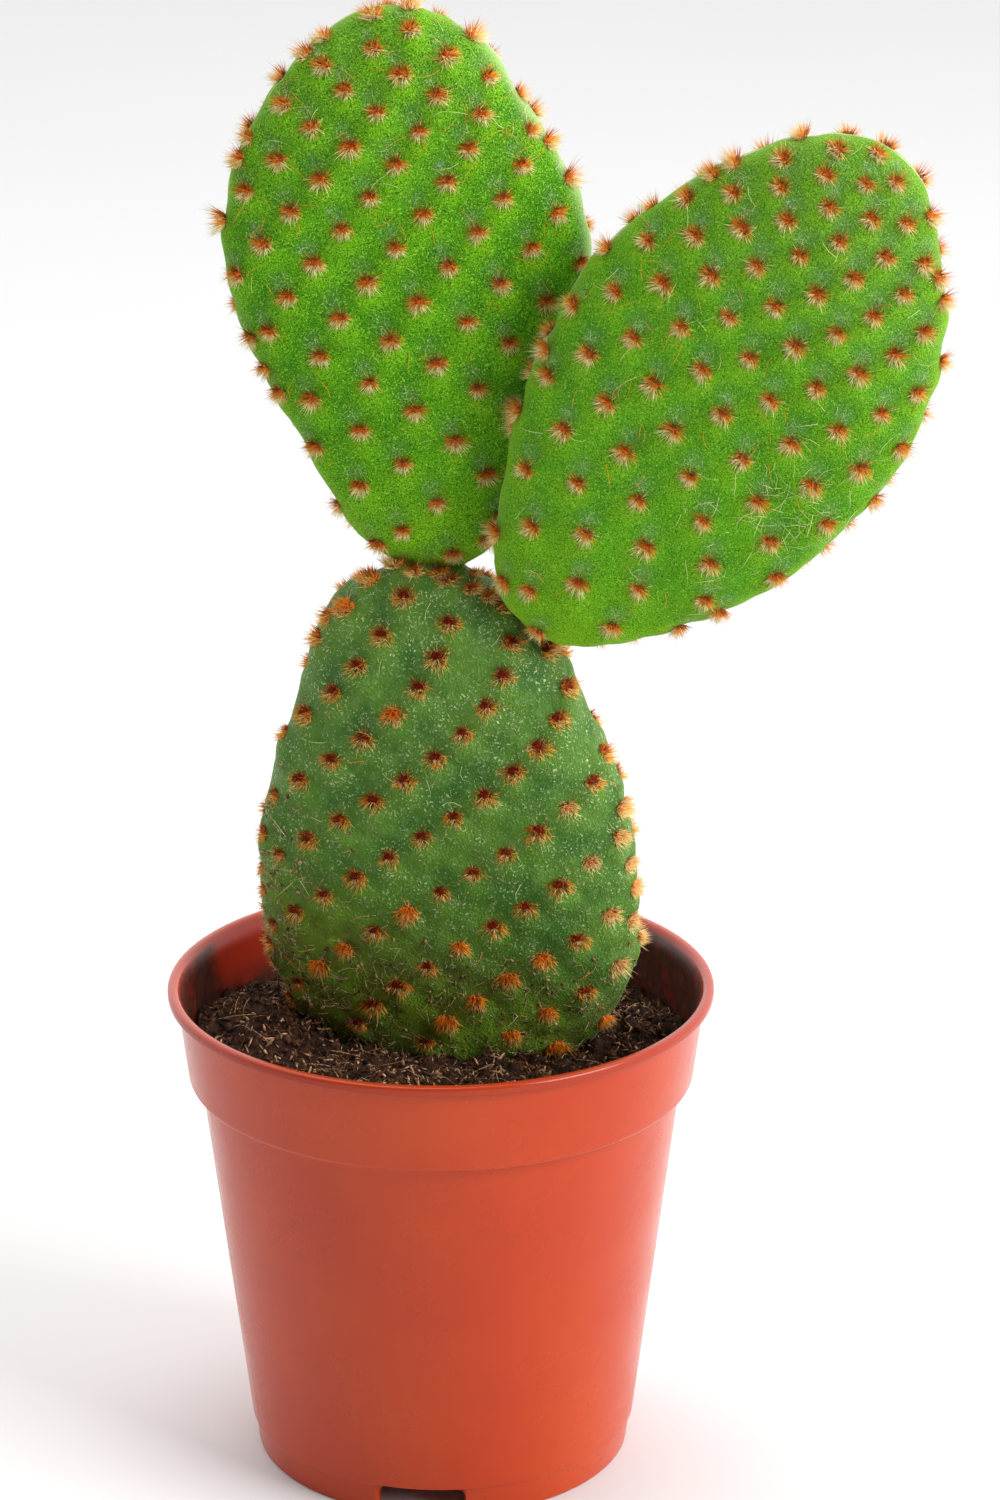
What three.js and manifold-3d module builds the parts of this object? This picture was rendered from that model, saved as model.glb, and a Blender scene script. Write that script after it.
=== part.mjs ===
// Potted paddle cactus: three flat oval stem pads, one standing in the soil of a small
// terracotta-coloured plastic pot and two growing from its top, all covered with rows of
// little tufts of bristles. Millimetres, +Z up; the pot stands on z = 0.

import * as THREE from 'three';
import { mergeVertices } from 'three/addons/utils/BufferGeometryUtils.js';
import Module from 'manifold-3d';

const wasm = await Module();
wasm.setup();

// Driving dimensions
const GAP = 0.3;                    // clearance between pieces that touch
const POT_HEIGHT = 77.7;
const POT_SIDES = 48;
const LIP_RADIUS = 42.5;            // outside of the small bead round the mouth
const LIP_HEIGHT = 1.6;
const BAND_TOP_RADIUS = 41.1;       // the straight band under the lip
const BAND_BOTTOM_RADIUS = 39.5;
const BAND_HEIGHT = 13.4;
const BODY_TOP_RADIUS = 37.6;
const BODY_BOTTOM_RADIUS = 29.9;
const WALL = 1.2;
const FOOT_HEIGHT = 5.0;            // ring under the floor, set in a little from the body
const FOOT_SET_IN = 0.4;
const FLOOR_THICKNESS = 1.4;
const NOTCH_COUNT = 3;              // slots in the foot ring that let water out
const NOTCH_WIDTH = 13.6;
const NOTCH_HEIGHT = 4.6;
const NOTCH_CORNER = 1.5;
const FIRST_NOTCH_DEG = -96.8;      // direction seen from above, 0 along +X
const DRAIN_COUNT = 6;
const DRAIN_RADIUS = 3.2;
const DRAIN_CIRCLE_RADIUS = 18;

const SOIL_DEPTH_UNDER_LIP = 11;    // flat level of the soil below the pot's mouth
const SOIL_RINGS = 9;
const SOIL_SIDES = 36;
// Heaps on the soil: place, reach and height
const SOIL_HEAPS = [
  { x: -28, y: 5, reach: 11, height: 6.5 },
  { x: 31, y: 3, reach: 8, height: 3 },
  { x: -14, y: -24, reach: 12, height: 2.5 },
  { x: 12, y: 24, reach: 14, height: 2 },
];

// A pad is an oval drawn by its edge radii, one each thirty degrees from the tip and round
// towards +X, about a centre. It has its half thickness there, rounds off to its edge and
// arches a little along its length. Turned by roll in its own plane, then leant towards the
// front, then yawed so that its +X edge comes to the front. Its tufts follow each other up the
// skin, each a fixed share of the girth further round, which sets them in slanting rows.
const PADS = {
  pad_lower: {
    centre: [1.4, 0, 113.4], rollDeg: -1, leanDeg: 0, yawDeg: 8, halfThickness: 9, arch: 0.5,
    edgeRadii: [32.4, 27.1, 23.8, 25.7, 33.1, 47.7, 52.6, 48.3, 34.3, 27.1, 25.8, 31.9],
    turnPerTuft: 0.38, phase: 0.091, skinPerTuft: 55.8, crowding: 0, firstShare: 1.13,
  },
  pad_upper_left: {
    centre: [-3.4, 1, 205.7], rollDeg: -3.4, leanDeg: 0, yawDeg: 3, halfThickness: 6.4, arch: 0,
    edgeRadii: [23.9, 21.5, 19.1, 22, 29.2, 38.2, 61.8, 42.3, 32.9, 27.2, 23.7, 23.8],
    neck: { at: [-0.4, 0, 144.3], reach: [5.8, 3.3, 3.2] },
    turnPerTuft: 0.2764, phase: 0.4385, skinPerTuft: 50.9, crowding: 0.285, firstShare: 0.28,
  },
  pad_upper_right: {
    centre: [41.9, -15, 181.1], rollDeg: 35, leanDeg: 4, yawDeg: 10, halfThickness: 6.4, arch: -1,
    edgeRadii: [39.5, 34.1, 30.5, 30, 32.8, 41.5, 52.3, 34.9, 26.5, 24, 24.8, 30.5],
    neck: { at: [15.5, -3.6, 139.5], reach: [4.8, 4.6, 5.2] },
    turnPerTuft: 0.6183, phase: 0.193, skinPerTuft: 48.3, crowding: 0.5, firstShare: 0.18,
  },
};
const PAD_SIDES = 40;
const PAD_RINGS = 9;                // from the middle of one face over the edge to the other
const FACE_POWER = 2.8;             // how flat the faces are before they round off
const ARCH_LENGTH = 45;             // distance from the middle at which a pad has its full arch

const SPINES_ON_FACE = 2;           // in each tuft
const SPINES_ON_EDGE = 3;
const SPINE_LENGTH = 3.0;
const SPINE_WIDTH = 0.42;           // from the middle to a corner, where it leaves the skin
const SPINE_ROOT_DEPTH = 1.8;
const SPINE_ROOT_SPREAD = 0.62;
const SPINE_TILT = 0.62;            // sideways reach against upward reach
const TUFT_CLEARANCE = 1.6;         // from a tuft's middle to the next piece

const PLASTIC = new THREE.MeshStandardMaterial({ color: 0xbf4b34, roughness: 0.42, metalness: 0 });
const EARTH = new THREE.MeshStandardMaterial({ color: 0x3a2a20, roughness: 1, metalness: 0 });
const SKIN_OLD = new THREE.MeshStandardMaterial({ color: 0x3d6b35, roughness: 0.6, metalness: 0 });
const SKIN_YOUNG = new THREE.MeshStandardMaterial({ color: 0x4f9428, roughness: 0.55, metalness: 0 });

/** A fixed pseudo-random number from 0 to 1 for each whole number and salt. */
function scatter(index, salt) {
  const value = Math.sin(index * 12.9898 + salt * 78.233) * 43758.5453;
  return value - Math.floor(value);
}

// ---------- solids ----------

function solidFrom(geometry) {
  const bare = geometry.clone();
  bare.deleteAttribute('normal');
  bare.deleteAttribute('uv');
  const merged = mergeVertices(bare, 1e-4);
  const vertProperties = new Float32Array(merged.attributes.position.array);
  const triVerts = new Uint32Array(merged.index.array);
  return new wasm.Manifold(new wasm.Mesh({ numProp: 3, vertProperties, triVerts }));
}

function geometryFrom(solid) {
  const mesh = solid.getMesh();
  const geometry = new THREE.BufferGeometry();
  geometry.setAttribute('position', new THREE.BufferAttribute(mesh.vertProperties, 3));
  geometry.setIndex(new THREE.BufferAttribute(mesh.triVerts, 1));
  geometry.computeVertexNormals();
  return geometry;
}

function geometryOf(points, triangles) {
  const geometry = new THREE.BufferGeometry();
  geometry.setAttribute('position', new THREE.Float32BufferAttribute(points.flat(), 3));
  geometry.setIndex(triangles.flat());
  return geometry;
}

/** A profile of [radius, height] points turned round the pot's axis. */
function turned(profile) {
  const points = profile.map(([radius, height]) => new THREE.Vector2(radius, height));
  return new THREE.LatheGeometry(points, POT_SIDES).rotateX(Math.PI / 2);
}

// ---------- pot ----------

const BAND_BOTTOM = POT_HEIGHT - LIP_HEIGHT - BAND_HEIGHT;
const FLOOR_TOP = FOOT_HEIGHT + FLOOR_THICKNESS;

/** Outside radius of the plain tapered body at a height. */
function bodyRadius(height) {
  return BODY_BOTTOM_RADIUS + (BODY_TOP_RADIUS - BODY_BOTTOM_RADIUS) * (height / BAND_BOTTOM);
}

/** Inside radius of the pot at a height above its floor. */
function insideRadius(height) {
  if (height < BAND_BOTTOM + WALL) {
    return bodyRadius(height) - WALL;
  }
  const rise = (height - BAND_BOTTOM) / BAND_HEIGHT;
  return BAND_BOTTOM_RADIUS + (BAND_TOP_RADIUS - BAND_BOTTOM_RADIUS) * rise - WALL;
}

function potProfile() {
  const lipBottom = POT_HEIGHT - LIP_HEIGHT;
  const footRadius = bodyRadius(FOOT_HEIGHT) - FOOT_SET_IN;
  const footBottomRadius = bodyRadius(0) - FOOT_SET_IN;
  return [
    [footBottomRadius - WALL, 0],
    [footBottomRadius, 0],
    [footRadius, FOOT_HEIGHT - 0.3],
    [footRadius + FOOT_SET_IN, FOOT_HEIGHT],
    [bodyRadius(BAND_BOTTOM) - 0.05, BAND_BOTTOM - 0.5],
    [BAND_BOTTOM_RADIUS - 0.4, BAND_BOTTOM],
    [BAND_BOTTOM_RADIUS, BAND_BOTTOM + 0.4],
    [BAND_TOP_RADIUS, lipBottom],
    [LIP_RADIUS - 0.3, lipBottom],
    [LIP_RADIUS, lipBottom + 0.4],
    [LIP_RADIUS, POT_HEIGHT - 0.5],
    [LIP_RADIUS - 0.5, POT_HEIGHT],
    [LIP_RADIUS - 1.3, POT_HEIGHT],
    [insideRadius(lipBottom), lipBottom - 0.6],
    [insideRadius(BAND_BOTTOM + 1.2 * WALL), BAND_BOTTOM + 1.2 * WALL],
    [insideRadius(BAND_BOTTOM + 0.9 * WALL), BAND_BOTTOM + 0.9 * WALL],
    [bodyRadius(FLOOR_TOP) - WALL, FLOOR_TOP],
    [0, FLOOR_TOP],
    [0, FOOT_HEIGHT],
    [footRadius - WALL, FOOT_HEIGHT],
    [footBottomRadius - WALL, 0],
  ];
}

/** A flat-bottomed slot with rounded top corners, cut radially through the foot ring. */
function notchCutter() {
  const half = NOTCH_WIDTH / 2;
  const shape = new THREE.Shape();
  shape.moveTo(-half, -1);
  shape.lineTo(half, -1);
  shape.lineTo(half, NOTCH_HEIGHT - NOTCH_CORNER);
  shape.absarc(half - NOTCH_CORNER, NOTCH_HEIGHT - NOTCH_CORNER, NOTCH_CORNER, 0, Math.PI / 2);
  shape.absarc(NOTCH_CORNER - half, NOTCH_HEIGHT - NOTCH_CORNER, NOTCH_CORNER, Math.PI / 2, Math.PI);
  const depth = BODY_BOTTOM_RADIUS;
  const cutter = new THREE.ExtrudeGeometry(shape, { depth, bevelEnabled: false, curveSegments: 3 });
  // Stand the outline up and let it run outwards along +X, from inside the ring.
  return cutter.rotateX(Math.PI / 2).rotateZ(Math.PI / 2).translate(BODY_BOTTOM_RADIUS / 2, 0, 0);
}

function makePot() {
  let pot = solidFrom(turned(potProfile()));
  for (let index = 0; index < NOTCH_COUNT; index += 1) {
    const angle = THREE.MathUtils.degToRad(FIRST_NOTCH_DEG) + (index * 2 * Math.PI) / NOTCH_COUNT;
    pot = pot.subtract(solidFrom(notchCutter().rotateZ(angle)));
  }
  for (let index = 0; index < DRAIN_COUNT; index += 1) {
    const angle = (index * 2 * Math.PI) / DRAIN_COUNT;
    const drill = new THREE.CylinderGeometry(DRAIN_RADIUS, DRAIN_RADIUS, 4 * FLOOR_THICKNESS, 16);
    drill.rotateX(Math.PI / 2);
    drill.translate(DRAIN_CIRCLE_RADIUS, 0, FLOOR_TOP).rotateZ(angle);
    pot = pot.subtract(solidFrom(drill));
  }
  return pot;
}

// ---------- pads ----------

/** Edge radius at an angle from the tip: a smooth closed curve through the pad's edge radii. */
function edgeRadius(pad, angle) {
  const radii = pad.edgeRadii;
  const count = radii.length;
  const place = (((angle / (2 * Math.PI)) % 1) + 1) * count;
  const first = Math.floor(place);
  const t = place - first;
  const [p0, p1, p2, p3] = [-1, 0, 1, 2].map((step) => radii[(first + step) % count]);
  const bend = (2 * p0 - 5 * p1 + 4 * p2 - p3) * t * t + (3 * p1 - p0 - 3 * p2 + p3) * t ** 3;
  return 0.5 * (2 * p1 + (p2 - p0) * t + bend);
}

/** Half thickness at a share of the way from the pad's middle to its edge. */
function faceHeight(pad, share) {
  return pad.halfThickness * Math.sqrt(Math.max(0, 1 - share ** FACE_POWER));
}

/** How far the pad arches out of its plane at a height above its centre. */
function archAt(pad, height) {
  return pad.arch * (height / ARCH_LENGTH) ** 2;
}

/** The closed skin of a pad, grown outwards by an even margin. */
function padGeometry(pad, margin) {
  const points = [[0, -pad.halfThickness - margin, 0]];
  const triangles = [];
  for (let ring = 1; ring < PAD_RINGS; ring += 1) {
    const turn = (ring * Math.PI) / PAD_RINGS;
    const share = Math.sin(turn);
    const side = Math.cos(turn) > 0 ? -1 : 1;
    const y = side * faceHeight(pad, share) - Math.cos(turn) * margin;
    for (let step = 0; step < PAD_SIDES; step += 1) {
      const angle = (step * 2 * Math.PI) / PAD_SIDES;
      const radius = share * (edgeRadius(pad, angle) + margin);
      const height = radius * Math.cos(angle);
      points.push([radius * Math.sin(angle), y + archAt(pad, height), height]);
    }
  }
  const last = points.length;
  points.push([0, pad.halfThickness + margin, 0]);
  for (let step = 0; step < PAD_SIDES; step += 1) {
    const next = (step + 1) % PAD_SIDES;
    triangles.push([0, 1 + next, 1 + step]);
    for (let ring = 0; ring < PAD_RINGS - 2; ring += 1) {
      const a = 1 + ring * PAD_SIDES;
      const b = a + PAD_SIDES;
      triangles.push([a + step, b + next, b + step], [a + step, a + next, b + next]);
    }
    const a = 1 + (PAD_RINGS - 2) * PAD_SIDES;
    triangles.push([a + step, a + next, last]);
  }
  return geometryOf(points, triangles);
}

/** The turn that brings a pad from its own frame to where it grows. */
function padMatrix(pad) {
  const radians = THREE.MathUtils.degToRad;
  const roll = new THREE.Matrix4().makeRotationY(radians(pad.rollDeg));
  const lean = new THREE.Matrix4().makeRotationX(radians(pad.leanDeg));
  const yaw = new THREE.Matrix4().makeRotationZ(-radians(pad.yawDeg));
  const place = new THREE.Matrix4().makeTranslation(...pad.centre);
  return place.multiply(yaw).multiply(lean).multiply(roll);
}

/** Points round a pad at one height: from the +X edge over the front to the -X edge and back. */
function section(pad, height) {
  const steps = 40;
  const reach = Math.max(...pad.edgeRadii);
  const edgeAt = (side) => {
    let inside = 0;
    let outside = side * reach;
    for (let pass = 0; pass < 24; pass += 1) {
      const x = (inside + outside) / 2;
      if (Math.hypot(x, height) < edgeRadius(pad, Math.atan2(x, height))) {
        inside = x;
      } else {
        outside = x;
      }
    }
    return inside;
  };
  const right = edgeAt(1);
  const left = edgeAt(-1);
  const loop = [];
  for (let step = 0; step < 2 * steps; step += 1) {
    const turn = (step * Math.PI) / steps;
    const x = (right + left) / 2 + ((right - left) / 2) * Math.cos(turn);
    const share = Math.hypot(x, height) / edgeRadius(pad, Math.atan2(x, height));
    const side = step < steps ? -1 : 1;
    const y = side * faceHeight(pad, share) + archAt(pad, height);
    loop.push(new THREE.Vector3(x, y, height));
  }
  return loop;
}

/**
 * Where the tufts stand: each takes a share of the skin from the base up, a little less of it
 * near the tip, and lies a fixed part of the girth further round than the one before it.
 * Returns the place and the outward direction of each.
 */
function tuftPlaces(pad) {
  const rows = 90;
  const bottom = -edgeRadius(pad, Math.PI);
  const top = edgeRadius(pad, 0);
  const heights = [];
  const loops = [];
  const skinBelow = [0];
  for (let row = 0; row <= rows; row += 1) {
    const turn = (Math.PI * (row + 0.2)) / (rows + 0.4);
    const height = (top + bottom) / 2 - ((top - bottom) / 2) * Math.cos(turn);
    heights.push(height);
    loops.push(section(pad, height));
  }
  const count = loops[0].length;
  for (let row = 0; row < rows; row += 1) {
    let strip = 0;
    for (let step = 0; step < count; step += 1) {
      const next = (step + 1) % count;
      const up = loops[row + 1][step].clone().sub(loops[row][step]);
      const along = loops[row][next].clone().sub(loops[row][step]);
      strip += up.cross(along).length();
    }
    skinBelow.push(skinBelow[row] + strip);
  }
  const skin = skinBelow[rows];
  const places = [];
  for (let index = 0; (index + pad.firstShare) * pad.skinPerTuft < skin; index += 1) {
    const even = ((index + pad.firstShare) * pad.skinPerTuft) / skin;
    const share = even + pad.crowding * even * (1 - even);
    let row = 0;
    while (row < rows - 1 && skinBelow[row + 1] < share * skin) {
      row += 1;
    }
    const part = (share * skin - skinBelow[row]) / (skinBelow[row + 1] - skinBelow[row]);
    const height = heights[row] + (heights[row + 1] - heights[row]) * Math.min(1, part);
    const loop = section(pad, height);
    const lengths = [0];
    for (let step = 0; step < loop.length; step += 1) {
      lengths.push(lengths[step] + loop[step].distanceTo(loop[(step + 1) % loop.length]));
    }
    const turn = ((pad.phase - index * pad.turnPerTuft) % 1 + 1) % 1;
    const wanted = turn * lengths[loop.length];
    let step = 0;
    while (lengths[step + 1] < wanted) {
      step += 1;
    }
    const from = loop[step];
    const to = loop[(step + 1) % loop.length];
    const spot = from.clone().lerp(to, (wanted - lengths[step]) / (lengths[step + 1] - lengths[step]));
    places.push({ index, spot, outward: skinSlope(pad, spot).normalize() });
  }
  return places;
}

/** A measure that is 1 on a pad's skin, less inside it and more outside. */
function skinLevel(pad, x, y, z) {
  const share = Math.hypot(x, z) / edgeRadius(pad, Math.atan2(x, z));
  const flat = (y - archAt(pad, z)) / pad.halfThickness;
  return Math.sqrt(flat ** 2 + share ** FACE_POWER);
}

function skinSlope(pad, { x, y, z }) {
  const d = 0.05;
  return new THREE.Vector3(
    skinLevel(pad, x + d, y, z) - skinLevel(pad, x - d, y, z),
    skinLevel(pad, x, y + d, z) - skinLevel(pad, x, y - d, z),
    skinLevel(pad, x, y, z + d) - skinLevel(pad, x, y, z - d),
  ).divideScalar(2 * d);
}

/** About how far a point of the whole object stands clear of a pad and of its neck. */
function clearOf(pad, point) {
  const own = point.clone().applyMatrix4(padMatrix(pad).invert());
  const fromSkin = (skinLevel(pad, own.x, own.y, own.z) - 1) / skinSlope(pad, own).length();
  if (!pad.neck) {
    return fromSkin;
  }
  const reach = new THREE.Vector3(...pad.neck.reach);
  const fromNeck = point.clone().sub(new THREE.Vector3(...pad.neck.at)).divide(reach).length() - 1;
  return Math.min(fromSkin, fromNeck * Math.min(...pad.neck.reach));
}

/** Three-sided spines of every tuft of a pad, in the pad's own frame. */
function spineGeometry(pad, keeps) {
  const points = [];
  const triangles = [];
  for (const { index, spot, outward } of tuftPlaces(pad)) {
    const tip = spot.clone().addScaledVector(outward, SPINE_LENGTH);
    if (!keeps(spot.clone().applyMatrix4(padMatrix(pad)), tip.applyMatrix4(padMatrix(pad)))) {
      continue;
    }
    const along = new THREE.Vector3(0, 0, 1).cross(outward).normalize();
    const across = outward.clone().cross(along);
    const spines = Math.abs(outward.y) > 0.75 ? SPINES_ON_FACE : SPINES_ON_EDGE;
    for (let spine = 0; spine < spines; spine += 1) {
      const turn = 2 * Math.PI * (spine / spines + scatter(index, 1));
      const aside = along.clone().multiplyScalar(Math.cos(turn)).addScaledVector(across, Math.sin(turn));
      const square = outward.clone().cross(aside);
      const length = SPINE_LENGTH * (0.85 + 0.3 * scatter(index, 2 + spine));
      const root = spot.clone().addScaledVector(aside, SPINE_ROOT_SPREAD);
      root.addScaledVector(outward, -SPINE_ROOT_DEPTH);
      const end = root.clone().addScaledVector(outward, SPINE_ROOT_DEPTH + length * 0.85);
      end.addScaledVector(aside, length * SPINE_TILT);
      const first = points.length;
      for (let corner = 0; corner < 3; corner += 1) {
        const angle = (corner * 2 * Math.PI) / 3;
        const at = root.clone().addScaledVector(aside, SPINE_WIDTH * Math.cos(angle));
        points.push(at.addScaledVector(square, SPINE_WIDTH * Math.sin(angle)).toArray());
      }
      points.push(end.toArray());
      const [a, b, c, d] = [first, first + 1, first + 2, first + 3];
      triangles.push([a, c, b], [a, b, d], [b, c, d], [c, a, d]);
    }
  }
  return geometryOf(points, triangles);
}

// ---------- soil ----------

/** Height of the soil at a place: level, with heaps against the pad and small clods. */
function soilHeight(x, y) {
  let height = POT_HEIGHT - SOIL_DEPTH_UNDER_LIP;
  for (const heap of SOIL_HEAPS) {
    const away = Math.hypot(x - heap.x, y - heap.y) / heap.reach;
    height += heap.height * Math.exp(-away * away);
  }
  return height + 0.5 * Math.sin(0.9 * x + 1) * Math.sin(0.8 * y) + 0.3 * Math.sin(1.7 * x - 1.3 * y);
}

function soilGeometry() {
  const rim = insideRadius(POT_HEIGHT - SOIL_DEPTH_UNDER_LIP) - GAP;
  const points = [[0, 0, soilHeight(0, 0)]];
  const triangles = [];
  const addRing = (radius, heightAt) => {
    for (let step = 0; step < SOIL_SIDES; step += 1) {
      const angle = (step * 2 * Math.PI) / SOIL_SIDES;
      const x = radius * Math.cos(angle);
      const y = radius * Math.sin(angle);
      points.push([x, y, heightAt(x, y)]);
    }
  };
  for (let ring = 1; ring <= SOIL_RINGS; ring += 1) {
    addRing((rim * ring) / SOIL_RINGS, soilHeight);
  }
  const ledge = BAND_BOTTOM + 1.2 * WALL + GAP;
  const innerRing = insideRadius(BAND_BOTTOM) - 2 * GAP;
  addRing(innerRing, () => ledge);
  addRing(insideRadius(FLOOR_TOP) - 2 * GAP, () => FLOOR_TOP + GAP);
  const ringCount = SOIL_RINGS + 2;
  const last = points.length;
  points.push([0, 0, FLOOR_TOP + GAP]);
  for (let step = 0; step < SOIL_SIDES; step += 1) {
    const next = (step + 1) % SOIL_SIDES;
    triangles.push([0, 1 + step, 1 + next]);
    for (let ring = 0; ring < ringCount - 1; ring += 1) {
      const a = 1 + ring * SOIL_SIDES;
      const b = a + SOIL_SIDES;
      triangles.push([a + step, b + step, b + next], [a + step, b + next, a + next]);
    }
    const a = 1 + (ringCount - 1) * SOIL_SIDES;
    triangles.push([a + step, last, a + next]);
  }
  return geometryOf(points, triangles);
}

// ---------- the plant ----------

function grownSolid(pad, margin) {
  return solidFrom(padGeometry(pad, margin).applyMatrix4(padMatrix(pad)));
}

/** The short corky neck by which a pad grows out of the one below it. */
function neckSolid(pad) {
  const ball = new THREE.SphereGeometry(1, 12, 8).scale(...pad.neck.reach);
  return solidFrom(ball.translate(...pad.neck.at));
}

/** A pad with its spines, leaving out the tufts that have no room beside another piece. */
function bristledSolid(name) {
  const pad = PADS[name];
  const others = Object.values(PADS).filter((other) => other !== pad);
  const keeps = (spot, tip) => {
    const inPot = Math.hypot(spot.x, spot.y) < LIP_RADIUS && spot.z < POT_HEIGHT;
    if (inPot && spot.z < soilHeight(spot.x, spot.y) + SPINE_LENGTH) {
      return false;
    }
    return others.every((other) => Math.min(clearOf(other, tip), clearOf(other, spot)) > TUFT_CLEARANCE);
  };
  const spines = solidFrom(spineGeometry(pad, keeps).applyMatrix4(padMatrix(pad)));
  const body = grownSolid(pad, 0).add(spines);
  return pad.neck ? body.add(neckSolid(pad)) : body;
}

const lower = bristledSolid('pad_lower');
const lowerGrown = grownSolid(PADS.pad_lower, GAP);
const left = bristledSolid('pad_upper_left').subtract(lowerGrown);
const right = bristledSolid('pad_upper_right').subtract(lowerGrown);
const soil = solidFrom(soilGeometry()).subtract(lowerGrown);

// ---------- the object ----------

function piece(name, solid, material) {
  const mesh = new THREE.Mesh(geometryFrom(solid), material);
  mesh.name = name;
  return mesh;
}

const plant = new THREE.Group();
plant.add(piece('pad_lower', lower, SKIN_OLD));
plant.add(piece('pad_upper_left', left, SKIN_YOUNG));
plant.add(piece('pad_upper_right', right, SKIN_YOUNG));

const object = new THREE.Group();
object.add(piece('pot', makePot(), PLASTIC));
object.add(piece('soil', soil, EARTH));
object.add(plant);

// The origin is under the middle of the whole object's box, on the surface that it stands on.
const box = new THREE.Box3().setFromObject(object);
const middle = box.getCenter(new THREE.Vector3());
const group = new THREE.Group();
object.position.set(-middle.x, -middle.y, 0);
group.add(object);

export default group;
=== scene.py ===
import math

import bpy
import numpy as np
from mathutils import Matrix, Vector


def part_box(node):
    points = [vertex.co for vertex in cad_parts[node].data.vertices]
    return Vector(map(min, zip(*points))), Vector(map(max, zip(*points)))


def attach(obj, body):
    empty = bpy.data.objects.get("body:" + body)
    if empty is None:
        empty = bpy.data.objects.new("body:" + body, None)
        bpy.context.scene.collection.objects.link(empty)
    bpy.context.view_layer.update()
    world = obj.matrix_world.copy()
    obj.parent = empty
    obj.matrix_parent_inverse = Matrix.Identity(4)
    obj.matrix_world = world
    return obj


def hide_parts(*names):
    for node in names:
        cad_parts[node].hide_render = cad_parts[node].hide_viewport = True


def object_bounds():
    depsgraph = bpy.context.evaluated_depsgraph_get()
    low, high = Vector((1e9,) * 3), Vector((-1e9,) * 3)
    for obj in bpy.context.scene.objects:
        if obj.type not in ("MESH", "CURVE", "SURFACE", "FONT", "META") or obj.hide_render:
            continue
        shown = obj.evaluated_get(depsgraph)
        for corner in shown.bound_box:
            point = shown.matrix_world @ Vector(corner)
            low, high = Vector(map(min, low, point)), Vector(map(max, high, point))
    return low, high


# ---------------------------------------------------------------------------------------
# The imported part. Everything below is worked out in millimetres from the middle of the
# pot's foot, with +Z up, and brought to metres in the part's frame as it becomes a mesh.
# ---------------------------------------------------------------------------------------
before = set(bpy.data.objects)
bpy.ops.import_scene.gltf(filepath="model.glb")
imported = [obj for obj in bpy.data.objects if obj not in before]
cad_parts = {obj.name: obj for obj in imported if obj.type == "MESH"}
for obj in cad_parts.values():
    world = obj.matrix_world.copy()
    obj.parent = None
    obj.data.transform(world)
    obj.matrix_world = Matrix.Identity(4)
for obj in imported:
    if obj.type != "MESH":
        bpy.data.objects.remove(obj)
cad_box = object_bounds()

MM = 0.001
pot_low, pot_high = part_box("pot")
POT_FOOT = np.array([(pot_low.x + pot_high.x) / 2, (pot_low.y + pot_high.y) / 2, pot_low.z])


# ---------------------------------------------------------------------------------------
# Camera, light and floor. The camera looks down a little from the front through a long
# lens. The floor is pale. The sky is soft, white behind the plant and dim in front of it. One
# large panel brightens the right side, and a weaker one the top.
# ---------------------------------------------------------------------------------------
CAMERA_PLACE = (-2.2, -640.3, 337.0)
CAMERA_DOWN = math.radians(19.08)
CAMERA_RIGHT = math.radians(1.02)
CAMERA_LENS = 106.3

camera_data = bpy.data.cameras.new("camera")
camera_data.lens = CAMERA_LENS
camera = bpy.data.objects.new("camera", camera_data)
bpy.context.scene.collection.objects.link(camera)
camera.location = Vector(POT_FOOT) + Vector(CAMERA_PLACE) * MM
looking = Vector((
    math.sin(CAMERA_RIGHT) * math.cos(CAMERA_DOWN),
    math.cos(CAMERA_RIGHT) * math.cos(CAMERA_DOWN),
    -math.sin(CAMERA_DOWN),
))
camera.rotation_euler = looking.to_track_quat("-Z", "Y").to_euler()
bpy.context.scene.camera = camera
bpy.context.scene.view_settings.view_transform = "Standard"


def mesh_object(name, points, faces, smooth=True):
    """A mesh from points in millimetres and groups of faces, each group with one number of
    corners, moved to the part's frame in metres. Its object stays at the origin."""
    groups = [np.atleast_2d(np.asarray(group, np.int32)) for group in faces]
    corners = np.concatenate([group.ravel() for group in groups])
    sizes = np.concatenate([np.full(len(group), group.shape[1]) for group in groups])
    mesh = bpy.data.meshes.new(name)
    mesh.vertices.add(len(points))
    mesh.vertices.foreach_set("co", (np.asarray(points) * MM + POT_FOOT).astype(np.float32).ravel())
    mesh.loops.add(len(corners))
    mesh.loops.foreach_set("vertex_index", corners)
    mesh.polygons.add(len(sizes))
    mesh.polygons.foreach_set("loop_start", np.concatenate([[0], np.cumsum(sizes)[:-1]]))
    mesh.polygons.foreach_set("use_smooth", np.full(len(sizes), smooth))
    mesh.update(calc_edges=True)
    mesh.validate()
    piece = bpy.data.objects.new(name, mesh)
    bpy.context.scene.collection.objects.link(piece)
    return piece


def new_material(name, **constants):
    """A material with one Principled shader, and plain numbers or colours set on its sockets."""
    material = bpy.data.materials.new(name)
    material.use_nodes = True
    shader = material.node_tree.nodes["Principled BSDF"]
    for socket, value in constants.items():
        shader.inputs[socket.replace("_", " ")].default_value = value
    return material, shader


def feed(material, socket, value):
    """Links an output to a socket, or sets the socket to a number, a vector or a colour."""
    if isinstance(value, bpy.types.NodeSocket):
        material.node_tree.links.new(value, socket)
    elif isinstance(value, tuple) and socket.type == "RGBA":
        socket.default_value = (*value, 1.0)
    else:
        socket.default_value = value


def place_on(material):
    """The place on the object in metres, which patterns are drawn from."""
    return material.node_tree.nodes.new("ShaderNodeTexCoord").outputs["Object"]


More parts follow.
